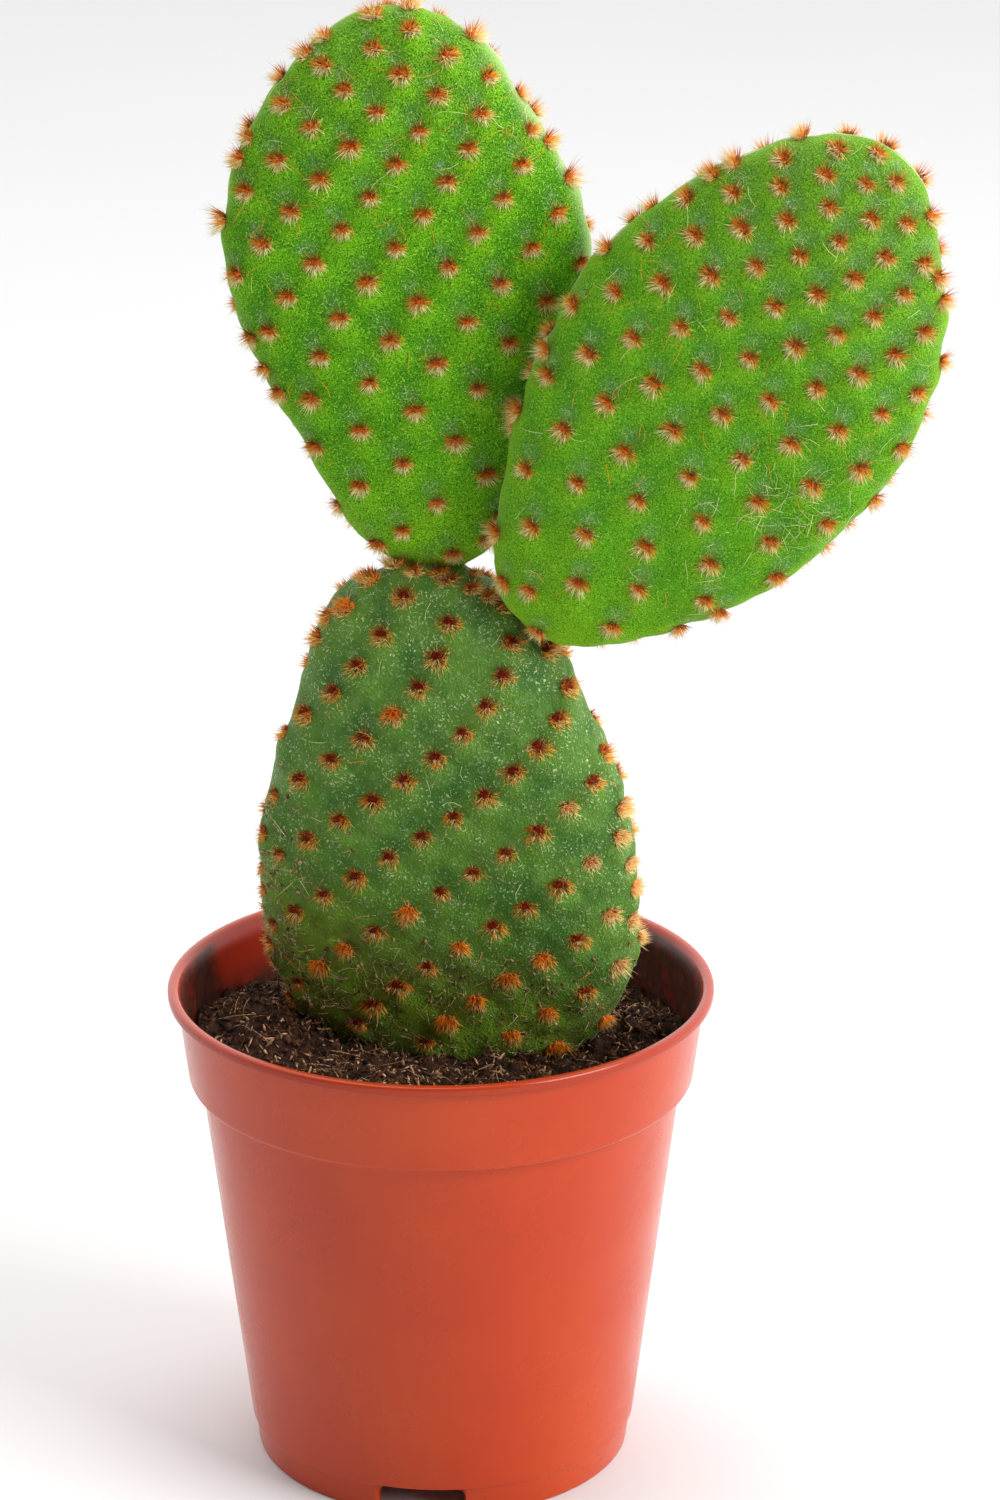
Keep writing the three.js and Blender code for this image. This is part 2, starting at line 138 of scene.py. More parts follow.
def axes_of(material, place):
    """The X, Y and Z of a place, each as an output."""
    parts = material.node_tree.nodes.new("ShaderNodeSeparateXYZ")
    feed(material, parts.inputs[0], place)
    return parts.outputs["X"], parts.outputs["Y"], parts.outputs["Z"]


def noise(material, place, scale, detail=3.0, roughness=0.55, stretch=None):
    """Cloudy noise with some waves per metre, on a place that is stretched first if asked."""
    if stretch is not None:
        mapping = material.node_tree.nodes.new("ShaderNodeMapping")
        feed(material, mapping.inputs["Vector"], place)
        mapping.inputs["Scale"].default_value = stretch
        place = mapping.outputs["Vector"]
    cloud = material.node_tree.nodes.new("ShaderNodeTexNoise")
    feed(material, cloud.inputs["Vector"], place)
    cloud.inputs["Scale"].default_value = scale
    cloud.inputs["Detail"].default_value = detail
    cloud.inputs["Roughness"].default_value = roughness
    return cloud.outputs["Fac"]


def step_of(material, value, low, high):
    """A smooth step of a value, from nought at one number to one at another."""
    step = material.node_tree.nodes.new("ShaderNodeMapRange")
    step.interpolation_type = "SMOOTHSTEP"
    feed(material, step.inputs["Value"], value)
    down = low > high
    step.inputs["From Min"].default_value = high if down else low
    step.inputs["From Max"].default_value = low if down else high
    step.inputs["To Min"].default_value = 1.0 if down else 0.0
    step.inputs["To Max"].default_value = 0.0 if down else 1.0
    return step.outputs["Result"]


def mixed(material, share, first, second):
    """The first colour turned into the second by a share."""
    mix = material.node_tree.nodes.new("ShaderNodeMix")
    mix.data_type = "RGBA"
    for socket, value in ((mix.inputs[0], share), (mix.inputs[6], first), (mix.inputs[7], second)):
        feed(material, socket, value)
    return mix.outputs[2]


def reckon(material, rule, *values):
    """Numbers or outputs brought together by a rule such as ADD, MULTIPLY or MAXIMUM."""
    sum_node = material.node_tree.nodes.new("ShaderNodeMath")
    sum_node.operation = rule
    for socket, value in zip(sum_node.inputs, values):
        feed(material, socket, value)
    return sum_node.outputs[0]


def scaled(material, value, factor, more):
    """A value times a factor, with more added to it."""
    return reckon(material, "MULTIPLY_ADD", value, factor, more)


def finish_with(material, shader, colour, relief, depth, roughness=None):
    """Joins a colour, a relief with a depth in metres and, if given, a roughness."""
    feed(material, shader.inputs["Base Color"], colour)
    bump = material.node_tree.nodes.new("ShaderNodeBump")
    bump.inputs["Distance"].default_value = depth
    feed(material, bump.inputs["Height"], relief)
    feed(material, shader.inputs["Normal"], bump.outputs["Normal"])
    if roughness is not None:
        feed(material, shader.inputs["Roughness"], roughness)


# Brightness of the sky in front of the plant and behind it, and where it turns from one to
# the other along the front-to-back direction. Just over the floor it is pale all round.
SKY_FRONT, SKY_BACK, SKY_LOW = 0.12, 1.7, 0.62
SKY_TURN, SKY_LOW_TURN = (-0.55, 0.35), (0.07, 0.02)

sky = bpy.data.worlds.new("soft sky")
sky.use_nodes = True
sky_way = sky.node_tree.nodes.new("ShaderNodeTexCoord").outputs["Generated"]
_, sky_y, sky_z = axes_of(sky, sky_way)
sky_strength = scaled(sky, step_of(sky, sky_y, *SKY_TURN), SKY_BACK - SKY_FRONT, SKY_FRONT)
sky_low = reckon(sky, "MULTIPLY", step_of(sky, sky_z, *SKY_LOW_TURN), SKY_LOW)
sky_light = sky.node_tree.nodes["Background"]
feed(sky, sky_light.inputs["Color"], (1.0, 1.0, 1.0))
feed(sky, sky_light.inputs["Strength"], reckon(sky, "MAXIMUM", sky_strength, sky_low))
bpy.context.scene.world = sky


PANEL_WIDTH = 0.9
PANEL_AIM = Vector((0.0, 0.0, 0.12))


def soft_panel(name, place, power):
    """A square light at a place in metres, turned to the middle of the plant."""
    light = bpy.data.lights.new(name, "AREA")
    light.shape = "SQUARE"
    light.size = PANEL_WIDTH
    light.energy = power
    panel = bpy.data.objects.new(name, light)
    bpy.context.scene.collection.objects.link(panel)
    panel.location = place
    panel.rotation_euler = (PANEL_AIM - Vector(place)).to_track_quat("-Z", "Y").to_euler()


soft_panel("panel_right", (1.15, -0.66, 0.85), 28.0)
soft_panel("panel_top", (-0.2, 0.1, 1.4), 6.0)

FLOOR_REACH = 60000.0
FLOOR_GREY, FLOOR_PALE = (0.67, 0.67, 0.67), (0.70, 0.70, 0.70)

floor_corners = np.array([[-1, -1, 0], [1, -1, 0], [1, 1, 0], [-1, 1, 0]]) * FLOOR_REACH
floor = mesh_object("floor", floor_corners, [[0, 1, 2, 3]], smooth=False)
floor_paint, floor_shader = new_material("floor paint", Roughness=0.9, Specular_IOR_Level=0.2)
floor_cloud = noise(floor_paint, place_on(floor_paint), 3.0)
floor_tone = mixed(floor_paint, floor_cloud, FLOOR_GREY, FLOOR_PALE)
finish_with(floor_paint, floor_shader, floor_tone, floor_cloud, 0.0002)
floor.data.materials.append(floor_paint)


# ---------------------------------------------------------------------------------------
# The pot: one thin injection-moulded shell of terracotta-coloured plastic, tapered, with a
# straight band and a small bead at the lip. Its floor is set up on a foot ring with three
# slots, and has round holes that let water out.
# ---------------------------------------------------------------------------------------
POT_HEIGHT = 77.7
LIP_RADIUS, LIP_HEIGHT = 42.5, 1.6
BAND_TOP_RADIUS, BAND_BOTTOM_RADIUS, BAND_BOTTOM = 41.1, 39.5, 62.7
BODY_TOP_RADIUS, BODY_BOTTOM_RADIUS = 37.6, 29.9
WALL = 1.2
FOOT_HEIGHT, FOOT_SET_IN = 5.0, 0.4
FLOOR_TOP = 6.4
# The slots in the foot ring and the round holes in the floor, with directions seen from above
NOTCH_HALF_WIDTH, NOTCH_HEIGHT, NOTCH_CORNER = 6.8, 4.6, 1.5
NOTCH_DIRECTIONS = np.radians([-96.8, 23.2, 143.2])
DRAIN_DIRECTIONS = np.radians(np.arange(0, 360, 60))
DRAIN_RADIUS, DRAIN_CIRCLE_RADIUS = 3.2, 18.0
POT_COLUMNS = 216


def body_radius(height):
    """Outside radius of the tapered body: a straight line from the foot to the band."""
    return BODY_BOTTOM_RADIUS + (BODY_TOP_RADIUS - BODY_BOTTOM_RADIUS) * height / BAND_BOTTOM


def softened(corners, reaches, steps):
    """A line whose inner corners are rounded: each becomes a quadratic curve that leaves the
    one side and meets the next at its own reach from the corner."""
    corners = np.asarray(corners, float)
    share = np.linspace(0, 1, steps)[:, None]
    line = [corners[:1]]
    for before, corner, after, reach in zip(corners, corners[1:], corners[2:], reaches):
        start = corner + (before - corner) * min(0.45, reach / np.linalg.norm(before - corner))
        end = corner + (after - corner) * min(0.45, reach / np.linalg.norm(after - corner))
        line.append((1 - share) ** 2 * start + 2 * share * (1 - share) * corner + share**2 * end)
    line.append(corners[-1:])
    return np.concatenate(line)


def notch_rise(arc):
    """Height of the foot's lower edge at a distance along the ring from a slot's middle: flat
    over the middle, a quarter circle down at each corner, then a straight side."""
    beyond = np.clip(np.abs(arc) - (NOTCH_HALF_WIDTH - NOTCH_CORNER), 0, NOTCH_CORNER)
    rise = NOTCH_HEIGHT - NOTCH_CORNER + np.sqrt(NOTCH_CORNER**2 - beyond**2)
    return np.where(np.abs(arc) > NOTCH_HALF_WIDTH + 0.02, 0.0, rise)


def cut_foot(height, angle):
    """Heights under the pot's floor pressed up to the upper edge of the slots."""
    apart = [(angle - middle + np.pi) % (2 * np.pi) - np.pi for middle in NOTCH_DIRECTIONS]
    rise = notch_rise(np.min(np.abs(apart), axis=0) * (body_radius(0) - FOOT_SET_IN))
    pressed = rise + height * (FOOT_HEIGHT - rise) / FOOT_HEIGHT
    return np.where(height < FOOT_HEIGHT - 0.01, pressed, height + 0 * angle)


def closed_rings(rings, first_pole, last_pole):
    """Points and faces of rings that close on themselves, with a point at each end. The skin
    faces outwards where the rings turn to the left about the way they follow each other."""
    count, around = rings.shape[:2]
    points = np.concatenate([rings.reshape(-1, 3), [first_pole], [last_pole]])
    ring, step = np.mgrid[0:count - 1, 0:around]
    after = (step + 1) % around
    quads = np.stack([
        ring * around + step, ring * around + after,
        (ring + 1) * around + after, (ring + 1) * around + step,
    ], axis=-1).reshape(-1, 4)
    turn = np.arange(around)
    following = (turn + 1) % around
    base = (count - 1) * around
    first = np.stack([following, turn, np.full(around, len(points) - 2)], axis=-1)
    last = np.stack([base + turn, base + following, np.full(around, len(points) - 1)], axis=-1)
    return points, [quads, first, last]


foot_top = body_radius(FOOT_HEIGHT) - FOOT_SET_IN
foot_bottom = body_radius(0) - FOOT_SET_IN
lip_bottom = POT_HEIGHT - LIP_HEIGHT
ledge_inside = BAND_BOTTOM + 1.2 * WALL
# Corners of the wall's outline: radius, height and how far the rounding reaches
pot_outline = np.array([
    (0, FOOT_HEIGHT, 0),
    (foot_top - WALL, FOOT_HEIGHT, 0.5),
    (foot_bottom - WALL, 0, 0.35),
    (foot_bottom, 0, 0.35),
    (foot_top, FOOT_HEIGHT - 0.25, 0.3),
    (foot_top + FOOT_SET_IN, FOOT_HEIGHT, 0.25),
    (body_radius(BAND_BOTTOM) - 0.05, BAND_BOTTOM - 0.45, 0.6),
    (BAND_BOTTOM_RADIUS - 0.1, BAND_BOTTOM, 0.8),
    (BAND_TOP_RADIUS, lip_bottom, 0.2),
    (LIP_RADIUS, lip_bottom + 0.05, 0.4),
    (LIP_RADIUS, POT_HEIGHT, 0.7),
    (LIP_RADIUS - 1.5, POT_HEIGHT, 0.6),
    (BAND_TOP_RADIUS - WALL, lip_bottom - 0.6, 1.2),
    (BAND_BOTTOM_RADIUS - WALL + 0.1, ledge_inside, 0.8),
    (body_radius(BAND_BOTTOM) - WALL, ledge_inside - 0.5, 0.7),
    (body_radius(FLOOR_TOP) - WALL, FLOOR_TOP, 1.0),
    (0, FLOOR_TOP, 0),
])
pot_profile = softened(pot_outline[:, :2], pot_outline[1:-1, 2], 6)

# Columns of points stand evenly round the pot, and closer at both corners of each slot
notch_columns = NOTCH_HALF_WIDTH + np.array([0.05, 0, -0.05, -0.2, -0.5, -0.9, -NOTCH_CORNER])
pot_angles = [np.linspace(0, 2 * np.pi, POT_COLUMNS, endpoint=False)]
for middle in NOTCH_DIRECTIONS:
    pot_angles += [(middle + side * notch_columns / foot_bottom) % (2 * np.pi) for side in (-1, 1)]
pot_angles = np.unique(np.concatenate(pot_angles).round(5))

pot_radii, pot_heights = pot_profile[1:-1, 0][:, None], pot_profile[1:-1, 1][:, None]
pot_rings = np.stack([
    pot_radii * np.cos(pot_angles),
    pot_radii * np.sin(pot_angles),
    cut_foot(pot_heights, pot_angles[None, :]),
], axis=-1)
pot_points, pot_faces = closed_rings(pot_rings, (0, 0, FOOT_HEIGHT), (0, 0, FLOOR_TOP))
pot = mesh_object("pot_shell", pot_points, pot_faces)


def drill(piece, middles, radius, bottom, top):
    """Cuts round holes straight down through a piece: prisms of 32 sides at the middles."""
    sides = 32
    turn = np.linspace(0, 2 * np.pi, sides, endpoint=False)
    ring = radius * np.stack([np.cos(turn), np.sin(turn)], axis=-1)
    step = np.arange(sides)
    after = (step + 1) % sides
    walls = np.stack([step, after, after + sides, step + sides], axis=-1)
    points, wall_faces, lids = [], [], []
    for order, middle in enumerate(middles):
        for height in (bottom, top):
            points.append(np.column_stack([ring + middle, np.full(sides, height)]))
        wall_faces.append(walls + 2 * sides * order)
        lids += [step[::-1] + 2 * sides * order, step + sides + 2 * sides * order]
    cutter = mesh_object("cutter", np.concatenate(points), [np.concatenate(wall_faces), np.array(lids)])
    cut = piece.modifiers.new("holes", "BOOLEAN")
    cut.operation = "DIFFERENCE"
    cut.object = cutter
    cut.solver = "EXACT"
    evaluated = piece.evaluated_get(bpy.context.evaluated_depsgraph_get())
    drilled = bpy.data.meshes.new_from_object(evaluated)
    piece.modifiers.clear()
    piece.data = drilled
    bpy.data.objects.remove(cutter)


drain_ways = np.stack([np.cos(DRAIN_DIRECTIONS), np.sin(DRAIN_DIRECTIONS)], axis=-1)
drill(pot, DRAIN_CIRCLE_RADIUS * drain_ways, DRAIN_RADIUS, FOOT_HEIGHT - 1, FLOOR_TOP + 1)


def points_of(piece):
    """A piece's points, in millimetres from the middle of the pot's foot."""
    flat = np.empty(len(piece.data.vertices) * 3)
    piece.data.vertices.foreach_get("co", flat)
    return (flat.reshape(-1, 3) - POT_FOOT) / MM


def keep_number(piece, name, values):
    """Keeps a number for each point of a piece, for its material to read."""
    layer = piece.data.attributes.new(name, "FLOAT", "POINT")
    layer.data.foreach_set("value", np.asarray(values, np.float32))


# The inside of the pot is what lies nearer to its axis than the middle of its wall
pot_at = points_of(pot)
pot_up = pot_at[:, 2]
band_share = np.clip((pot_up - ledge_inside) / (lip_bottom - ledge_inside), 0, 1)
band_middle = BAND_BOTTOM_RADIUS + (BAND_TOP_RADIUS - BAND_BOTTOM_RADIUS) * band_share - 0.5 * WALL
wall_middle = np.where(pot_up > ledge_inside - 0.6, band_middle, body_radius(pot_up) - 0.5 * WALL)
is_inside = np.hypot(pot_at[:, 0], pot_at[:, 1]) < wall_middle
is_inside &= (pot_up > FLOOR_TOP - 0.1) & (pot_up < POT_HEIGHT - 0.5)
keep_number(pot, "inside", is_inside)


def shade(red, green, blue):
    """A colour named in screen steps from 0 to 255, as the linear shares that a shader takes."""
    steps = np.array([red, green, blue]) / 255
    linear = np.where(steps <= 0.04045, steps / 12.92, ((steps + 0.055) / 1.055) ** 2.4)
    return tuple(float(share) for share in linear)


def kept_on(material, name):
    """What the mesh keeps at each point under a name: a number and a colour."""
    reader = material.node_tree.nodes.new("ShaderNodeAttribute")
    reader.attribute_name = name
    return reader.outputs["Fac"], reader.outputs["Color"]


def layered(material, tone, layers):
    """A tone under layers: each turns it into its colour by its share times its strength."""
    for share, strength, colour in layers:
        tone = mixed(material, reckon(material, "MULTIPLY", share, strength), tone, colour)
    return tone


TERRACOTTA, TERRACOTTA_DEEP, LIP_RED = shade(187, 63, 12), shade(178, 52, 8), shade(150, 42, 14)
INNER_RED, WET_DIRT, DRY_DIRT = shade(164, 40, 14), shade(42, 22, 15), shade(80, 38, 26)
# Waves per metre of clouds in the colour, streaks from the mould, smears of dirt and scuffs
POT_CLOUD, POT_FLOW, POT_SMEAR, POT_SCUFF = 26.0, 500.0, 240.0, 70.0
# Heights in metres over which the lip reddens and the dirt inside ends. Its line waves, and
# stands higher towards the right and at the far left.
LIP_TURN, DIRT_TURN, DIRT_WAVE, DIRT_SLOPE = (0.0757, 0.0763), (0.090, 0.080), 0.016, 0.19
FAR_LEFT_TURN, FAR_LEFT_RISE = (-0.0505, -0.0555), 0.018

plastic, plastic_shader = new_material("terracotta plastic", Specular_IOR_Level=0.35)
pot_place = place_on(plastic)
pot_x, _, pot_z = axes_of(plastic, pot_place)
inner_share = kept_on(plastic, "inside")[0]
broad = noise(plastic, pot_place, POT_CLOUD, 4.0)
flow = noise(plastic, pot_place, POT_FLOW, 3.0, 0.6)
smear = noise(plastic, pot_place, POT_SMEAR, 5.0, 0.7)
scuffs = step_of(plastic, noise(plastic, pot_place, POT_SCUFF, 5.0, 0.65), 0.3, 0.8)
dirt_line = scaled(plastic, pot_x, -DIRT_SLOPE, scaled(plastic, broad, DIRT_WAVE, pot_z))
dirt_line = scaled(plastic, step_of(plastic, pot_x, *FAR_LEFT_TURN), -FAR_LEFT_RISE, dirt_line)
dirt_depth = reckon(plastic, "ADD", step_of(plastic, smear, 0.38, 0.6), 0.7)
dirt_tone = mixed(plastic, step_of(plastic, smear, 0.42, 0.62), WET_DIRT, DRY_DIRT)
pot_tone = mixed(plastic, step_of(plastic, broad, 0.35, 0.68), TERRACOTTA_DEEP, TERRACOTTA)
pot_tone = layered(plastic, pot_tone, [(step_of(plastic, pot_z, *LIP_TURN), 0.7, LIP_RED)])
inner_tone = layered(plastic, INNER_RED, [(step_of(plastic, dirt_line, *DIRT_TURN), dirt_depth, dirt_tone)])
pot_tone = mixed(plastic, inner_share, pot_tone, inner_tone)
pot_gloss = scaled(plastic, inner_share, 0.1, scaled(plastic, scuffs, 0.14, 0.20))
finish_with(plastic, plastic_shader, pot_tone, flow, 0.00003, pot_gloss)
pot.data.materials.clear()
pot.data.materials.append(plastic)
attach(pot, "root")
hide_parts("pot")


# ---------------------------------------------------------------------------------------
# The soil: dark peat compost that fills the pot to a finger's width under the lip. It is
# loose and full of clods, heaped against the left edge of the old pad and a little in front.
# ---------------------------------------------------------------------------------------
SOIL_LEVEL = POT_HEIGHT - 11
# Heaps on the soil: place, reach and height
SOIL_HEAPS = [(-28, 5, 11, 6.5), (31, 3, 8, 3.0), (-14, -24, 12, 2.5), (12, 24, 14, 2.0)]
# The pot's inside radius at that level, less a small gap
SOIL_GAP = 0.3
SOIL_RADIUS = BAND_BOTTOM_RADIUS + 0.43 - WALL - SOIL_GAP
SOIL_COLUMNS, SOIL_RINGS = 300, 96


def soil_height(x, y):
    """The soil's level with its heaps, each a smooth bell, and two waves of small clods."""
    height = np.full(np.shape(x), float(SOIL_LEVEL))
    for heap_x, heap_y, reach, rise in SOIL_HEAPS:
        height += rise * np.exp(-((x - heap_x) ** 2 + (y - heap_y) ** 2) / reach**2)
    return height + 0.5 * np.sin(0.9 * x + 1) * np.sin(0.8 * y) + 0.3 * np.sin(1.7 * x - 1.3 * y)


def rough(x, y, size, seed):
    """Smooth random heights from -1 to 1: random numbers on a lattice of a spacing, and a
    smooth step between the four round each point."""
    lattice = np.random.default_rng(seed).uniform(-1, 1, (260, 260))
    across, along = x / size + 128, y / size + 128
    left, low = np.floor(across).astype(int), np.floor(along).astype(int)
    u, v = across - left, along - low
    u, v = u * u * (3 - 2 * u), v * v * (3 - 2 * v)
    lower = lattice[left, low] * (1 - u) + lattice[left + 1, low] * u
    upper = lattice[left, low + 1] * (1 - u) + lattice[left + 1, low + 1] * u
    return lower * (1 - v) + upper * v


def soil_surface(x, y):
    """The heaped level with three sizes of lumps on it, the finest half a millimetre."""
    lumps = 0.9 * rough(x, y, 2.6, 1) + 0.5 * rough(x, y, 1.1, 2)
    return soil_height(x, y) + lumps + 0.25 * rough(x, y, 0.5, 3)


soil_turns = np.linspace(0, 2 * np.pi, SOIL_COLUMNS, endpoint=False)
soil_reach = np.linspace(SOIL_RADIUS, 0.35, SOIL_RINGS)[:, None]
soil_x, soil_y = soil_reach * np.cos(soil_turns), soil_reach * np.sin(soil_turns)
soil_side = [
    (body_radius(FLOOR_TOP) - WALL - 2 * SOIL_GAP, FLOOR_TOP + SOIL_GAP),
    (body_radius(ledge_inside) - WALL - 2 * SOIL_GAP, ledge_inside),
]
soil_under = [np.stack([
    radius * np.cos(soil_turns), radius * np.sin(soil_turns), np.full(SOIL_COLUMNS, height),
], axis=-1) for radius, height in soil_side]
soil_top = np.stack([soil_x, soil_y, soil_surface(soil_x, soil_y)], axis=-1)
soil_rings = np.concatenate([np.stack(soil_under), soil_top])
soil_middle = float(soil_surface(np.zeros(1), np.zeros(1))[0])
soil_ends = (0, 0, FLOOR_TOP + SOIL_GAP), (0, 0, soil_middle)
soil = mesh_object("soil_bed", *closed_rings(soil_rings, *soil_ends))

PEAT_DARK, PEAT_BROWN, PEAT_STRAND = shade(20, 12, 7), shade(66, 39, 24), shade(144, 100, 64)
# Waves per metre of the crumbs and of the strands, and how the strands are drawn out
CRUMB_WAVES, STRAND_WAVES, STRAND_STRETCH = 900.0, 520.0, (1.0, 0.22, 1.0)

peat, peat_shader = new_material("peat", Roughness=0.95, Specular_IOR_Level=0.2)
peat_place = place_on(peat)
crumbs = noise(peat, peat_place, CRUMB_WAVES, 6.0, 0.7)
strands = noise(peat, peat_place, STRAND_WAVES, 6.0, 0.7, STRAND_STRETCH)
peat_tone = mixed(peat, step_of(peat, crumbs, 0.38, 0.62), PEAT_DARK, PEAT_BROWN)
peat_tone = mixed(peat, step_of(peat, strands, 0.60, 0.70), peat_tone, PEAT_STRAND)
finish_with(peat, peat_shader, peat_tone, crumbs, 0.0008)
soil.data.materials.append(peat)
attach(soil, "root")
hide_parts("soil")


# ---------------------------------------------------------------------------------------
# The old pad: a thick flat stem segment that stands in the soil and carries the others. Its
# waxy skin is blue-green, greyed by dust, and each bristle tuft sits on a low swelling of it.
# ---------------------------------------------------------------------------------------
# A pad is an oval drawn by its edge radii, one each thirty degrees from the tip and round
# towards +X. It is turned by roll in its own plane, leant towards the front, and yawed so
# that its +X edge comes to the front. Its tufts follow each other up and round the skin.
OLD_PAD = {
    "centre": (1.4, 0, 113.4), "roll": -1, "lean": 0, "yaw": 8, "half_thickness": 9, "arch": 0.5,
    "edge_radii": [32.4, 27.1, 23.8, 25.7, 33.1, 47.7, 52.6, 48.3, 34.3, 27.1, 25.8, 31.9],
    "turn_per_tuft": 0.38, "phase": 0.091, "skin_per_tuft": 55.8, "crowding": 0, "first_share": 1.13,
    "swelling": 0.7, "pit": 0.55,
}
FACE_POWER = 2.8
ARCH_LENGTH = 45.0
PAD_COLUMNS, PAD_RINGS = 360, 150


def edge_radius(pad, angle):
    """Edge radius at an angle from the tip: a smooth closed curve through the edge radii, a
    cubic between each two, with its slopes taken from their neighbours."""
    radii = np.array(pad["edge_radii"], float)
    place = (np.asarray(angle) / (2 * np.pi)) % 1 * len(radii)
    first = np.floor(place).astype(int)
    t = place - first
    p0, p1, p2, p3 = (radii[(first + step) % len(radii)] for step in (-1, 0, 1, 2))
    bend = (2 * p0 - 5 * p1 + 4 * p2 - p3) * t**2 + (3 * p1 - p0 - 3 * p2 + p3) * t**3
    return 0.5 * (2 * p1 + (p2 - p0) * t + bend)


def pad_skin(pad, angle, turn):
    """Points on a pad's skin in its own frame, by the angle from its tip and the turn from
    the middle of the front over the edge to the back. The reach is the sine of the turn times
    the edge radius, and the thickness falls off as a rounded power of that sine."""
    share = np.sin(turn)
    radius = share * edge_radius(pad, angle)
    x, z = radius * np.sin(angle), radius * np.cos(angle)
    thick = pad["half_thickness"] * np.sqrt(np.clip(1 - share**FACE_POWER, 0, 1))
    y = -np.sign(np.cos(turn)) * thick + pad["arch"] * (z / ARCH_LENGTH) ** 2
    return np.stack(np.broadcast_arrays(x, y, z), axis=-1)


def skin_level(pad, points):
    """A measure that is 1 on a pad's skin, less inside it and more outside."""
    x, y, z = np.moveaxis(points, -1, 0)
    share = np.hypot(x, z) / edge_radius(pad, np.arctan2(x, z))
    flat = (y - pad["arch"] * (z / ARCH_LENGTH) ** 2) / pad["half_thickness"]
    return np.sqrt(flat**2 + share**FACE_POWER)


def skin_slope(pad, points):
    """How fast the level rises along each axis, from its values a little to each side."""
    small = 0.05
    return np.stack([
        (skin_level(pad, points + step) - skin_level(pad, points - step)) / (2 * small)
        for step in small * np.eye(3)
    ], axis=-1)


def unit(vectors):
    """The same directions with a length of one."""
    return vectors / np.maximum(np.linalg.norm(vectors, axis=-1, keepdims=True), 1e-9)


def pad_turn(pad):
    """The turn from a pad's own frame to how it grows: its roll, then its lean, then its yaw."""
    roll, lean, yaw = np.radians([pad["roll"], pad["lean"], -pad["yaw"]])
    rolled = np.array([[np.cos(roll), 0, np.sin(roll)], [0, 1, 0], [-np.sin(roll), 0, np.cos(roll)]])
    leant = np.array([[1, 0, 0], [0, np.cos(lean), -np.sin(lean)], [0, np.sin(lean), np.cos(lean)]])
    yawed = np.array([[np.cos(yaw), -np.sin(yaw), 0], [np.sin(yaw), np.cos(yaw), 0], [0, 0, 1]])
    return yawed @ leant @ rolled


def grown(pad, points):
    """Points of a pad's own frame brought to where it grows."""
    return points @ pad_turn(pad).T + np.array(pad["centre"])


def within(pad, points):
    """Points of the whole plant seen from a pad's own frame."""
    return (points - np.array(pad["centre"])) @ pad_turn(pad)


# Points round a section of a pad, and halvings of the way to its edge
SECTION_POINTS, HALVINGS = 80, 24


def pad_sections(pad, heights):
    """Points round a pad at some heights, from the +X edge over the front to the -X edge and
    back. The edges are found by halving: inside where the reach is under the edge radius."""
    heights = np.atleast_1d(heights)
    edges = []
    for side in (1, -1):
        inside = np.zeros(len(heights))
        outside = np.full(len(heights), side * float(max(pad["edge_radii"])))
        for _ in range(HALVINGS):
            x = (inside + outside) / 2
            is_in = np.hypot(x, heights) < edge_radius(pad, np.arctan2(x, heights))
            inside, outside = np.where(is_in, x, inside), np.where(is_in, outside, x)
        edges.append(inside[:, None])
    right, left = edges
    turn = np.arange(SECTION_POINTS) * 2 * np.pi / SECTION_POINTS
    x = (right + left) / 2 + (right - left) / 2 * np.cos(turn)
    z = np.broadcast_to(heights[:, None], x.shape)
    share = np.hypot(x, z) / edge_radius(pad, np.arctan2(x, z))
    thick = pad["half_thickness"] * np.sqrt(np.clip(1 - share**FACE_POWER, 0, 1))
    y = np.where(turn < np.pi, -1, 1) * thick + pad["arch"] * (z / ARCH_LENGTH) ** 2
    return np.stack([x, y, z], axis=-1)


# The narrow edge bears tufts of its own: how far apart they stand, how far by turns to the
# front and the back, in radians of the turn over the edge, and how clear of other tufts
EDGE_SPACING, EDGE_SWAY, EDGE_CLEARANCE = 4.7, 0.2, 3.3
RIM_STEPS = 1440


def edge_spots(pad, spots):
    """The tufts of the narrow edge, in a pad's own frame: one after each even stretch of the
    rim, less those that would crowd one of the given tufts."""
    angle = np.linspace(0, 2 * np.pi, RIM_STEPS, endpoint=False)
    rim = pad_skin(pad, angle, np.full(RIM_STEPS, np.pi / 2))
    gone = np.cumsum(np.linalg.norm(np.roll(rim, -1, axis=0) - rim, axis=-1))
    count = int(gone[-1] / EDGE_SPACING)
    order = np.arange(count)
    place = np.searchsorted(gone, (order + 0.5) * gone[-1] / count)
    extra = pad_skin(pad, angle[place], np.pi / 2 + EDGE_SWAY * np.where(order % 2 == 0, -1, 1))
    apart = np.linalg.norm(extra[:, None] - spots[None], axis=-1).min(axis=1)
    return extra[apart > EDGE_CLEARANCE]


# Sections in which a pad's skin is measured, closer together towards its base and its tip
SKIN_ROWS = 90


